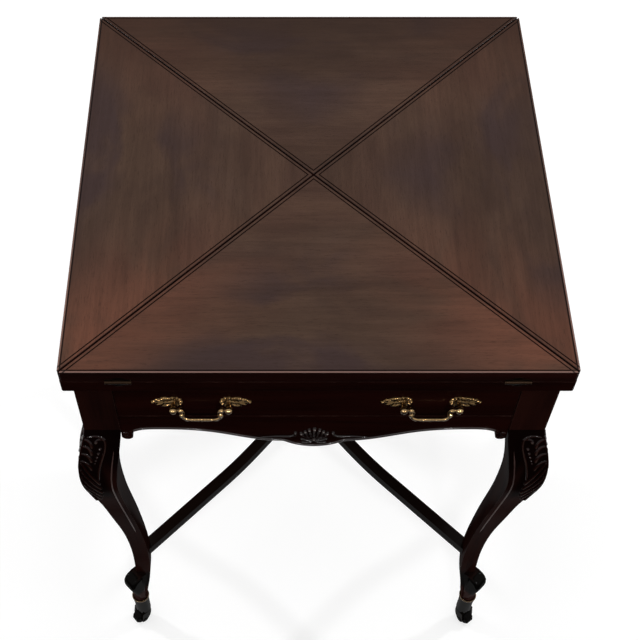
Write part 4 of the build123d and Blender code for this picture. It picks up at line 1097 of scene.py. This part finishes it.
bead_route = []
for x in range(-bead_end, bead_end + 1, 3):
    slope = (strip_edge(x + 1) - strip_edge(x - 1)) / 2
    length = sqrt(1 + slope**2)
    bead_route.append((x - strip_half * slope / length, -bead_out, strip_edge(x) + strip_half / length, bead_radius))
bead_bars = []
for turns in range(4):
    bead_bar = turned_bar(bead_route)
    bmesh.ops.rotate(bead_bar, verts=bead_bar.verts, cent=(0, 0, 0), matrix=quarter_turn(turns))
    bead_bars.append(bead_bar)
apron_beads = finish_piece("apron_beads", joined(bead_bars), bead_mahogany, "frame")
print("apron beads:", len(apron_beads.data.polygons), "faces")

# %% [markdown]
# ## Scratch beads on the legs
# A fine bead runs down both outer faces of each leg, close to the inner edge, and fades out above the foot. It
# is a thin bar half sunk in the wood, and rays cast at the leg from outside and from the table's middle tell
# where its face and its inner edge are.

# %% Leg beads
bead_levels = [585, 570, 550, 525, 500, 475, 450, 425, 400, 375, 350, 330, 310]
bead_in_from_edge = 6.5
bead_sunk = 0.25
bead_full, bead_tip = 1.0, 0.2
under_skin = 0.004


def leg_inner_edge(surface, x_side, y_side, level, reach):
    """How far from the middle a leg's inner edge is, just under its outer face; in metres."""
    start = Vector((0, y_side * (reach - under_skin), level * mm))
    return abs(surface.ray_cast(start, Vector((x_side, 0, 0)))[0].x)


for corner, x_side, y_side in corners:
    surface = solid_surface("leg_" + corner)
    bars = []
    for swap in (False, True):
        route = []
        for level in bead_levels:
            reach = leg_reach(surface, x_side, y_side, level)
            inset = leg_inner_edge(surface, x_side, y_side, level, reach) / mm + bead_in_from_edge
            radius = bead_tip if level in (bead_levels[0], bead_levels[-1]) else bead_full
            out = reach / mm - bead_sunk
            point = (out, inset) if swap else (inset, out)
            route.append((x_side * point[0], y_side * point[1], level, radius))
        bars.append(turned_bar(route))
    beads = finish_piece("leg_beads_" + corner, joined(bars), bead_upright, "frame")
    print(beads.name, "has", len(beads.data.polygons), "faces")

# %% [markdown]
# ## Scroll toes and caster rims
# Each leg ends in a small scroll that turns outwards over the caster. Its outline is drawn once, in the upright
# plane through the leg's outer corner, and lofted across the toe with rounded edges. A bevel on the CAD toe
# could round it as well, but slices that shrink by their own amounts keep the rounding even along the scroll.
# A brass rim closes the top of each caster cup, and a small ball ends each lower corner of the aprons.

# %% The toe's outline and slices
foot_axis = 247.0
toe_outline = [
    (0, 90.4),
    (4.4, 90.2),
    (7.0, 102.0),
    (10.0, 116.0),
    (12.3, 127.4),
    (13.8, 134.4),
    (14.8, 139.6),
    (15.2, 145.0),
    (15.0, 149.4),
    (14.0, 153.6),
    (12.0, 157.4),
    (9.2, 160.2),
    (6.0, 161.8),
    (2.0, 162.0),
    (-5.0, 160.8),
    (-5.0, 92.0),
]
toe_half_width = 11.6
toe_rounding = 5.4
toe_skin, toe_swell = 1.2, 0.6
half_slices = [6.2, 7.6, 8.9, 10.0, 10.8, 11.3, 11.55, 11.6]
toe_slices = [-v for v in reversed(half_slices)] + [-3.2, 0, 3.2] + half_slices
print("the toe is", 2 * toe_half_width, "mm wide, in", len(toe_slices), "slices")


# %% Toes, rims and ears
def outward_normals(outline):
    """The outward direction at each point of a closed outline that runs anticlockwise."""
    normals = []
    for index in range(len(outline)):
        before, after = Vector(outline[index - 1]), Vector(outline[(index + 1) % len(outline)])
        along = (after - before).normalized()
        normals.append(Vector((along.y, -along.x)))
    return normals


def scroll_toe(x_side, y_side):
    """The toe of the leg on that side, as a row of slices whose outlines shrink towards its two faces."""
    bm = bmesh.new()
    out = Vector((x_side, y_side, 0)).normalized()
    across = Vector((-y_side, x_side, 0)).normalized()
    axis = Vector((x_side * foot_axis, y_side * foot_axis, 0))
    rings = []
    for slice_at in toe_slices:
        over = max(0, abs(slice_at) - (toe_half_width - toe_rounding))
        inset = toe_rounding - sqrt(max(0, toe_rounding**2 - over**2))
        grow = toe_skin + toe_swell * (1 - (slice_at / toe_half_width) ** 2) - inset
        ring = []
        for (reach, level), normal in zip(toe_outline, outward_normals(toe_outline)):
            upright = Vector((0, 0, level + normal.y * grow))
            place = axis + out * (reach + normal.x * grow) + across * slice_at + upright
            ring.append(bm.verts.new(place * mm))
        rings.append([bm.edges.new(pair) for pair in zip(ring, ring[1:] + ring[:1])])
    for first, second in zip(rings, rings[1:]):
        bmesh.ops.bridge_loops(bm, edges=first + second)
    bmesh.ops.holes_fill(bm, edges=rings[0] + rings[-1])
    bmesh.ops.recalc_face_normals(bm, faces=bm.faces)
    for face in bm.faces:
        face.smooth = len(face.verts) == 4
    return bm


def ring_round(place, profile, segments=48):
    """A closed ring, spun from a profile of (radius, level) in mm round a vertical axis."""
    bm = bmesh.new()
    verts = [bm.verts.new((radius * mm, 0, level * mm)) for radius, level in profile]
    edges = [bm.edges.new((a, b)) for a, b in zip(verts, verts[1:] + verts[:1])]
    bmesh.ops.spin(
        bm, geom=verts + edges, axis=(0, 0, 1), cent=(0, 0, 0), angle=2 * pi, steps=segments, use_merge=True
    )
    bmesh.ops.recalc_face_normals(bm, faces=bm.faces)
    bmesh.ops.translate(bm, vec=[v * mm for v in place], verts=bm.verts)
    for face in bm.faces:
        face.smooth = True
    return bm


rim_profile = [(11.0, 85.8), (12.0, 86.1), (12.7, 85.3), (12.9, 84.2), (12.6, 83.1), (11.9, 82.4), (11.0, 82.5)]
for corner, x_side, y_side in corners:
    finish_piece("toe_scroll_" + corner, scroll_toe(x_side, y_side), toe_mahogany, "frame")
rims = [ring_round((x_side * foot_axis, y_side * foot_axis, 0), rim_profile) for _, x_side, y_side in corners]
finish_piece("caster_rims", joined(rims), collar_brass, "frame")
# The lower corners of every apron end in a small scroll, seen from its side as a ball
ear_along, ear_level, ear_radius = 215, 607.4, 4.4
ears = []
for turns in range(4):
    for end in (-1, 1):
        ear = ball((end * ear_along, -apron_face - 0.6, ear_level), ear_radius, (1, 0.7, 1))
        bmesh.ops.rotate(ear, verts=ear.verts, cent=(0, 0, 0), matrix=quarter_turn(turns))
        ears.append(ear)
finish_piece("apron_ear_scrolls", joined(ears), mahogany_across, "frame")
print("four toes, four rims and", len(ears), "ear scrolls")
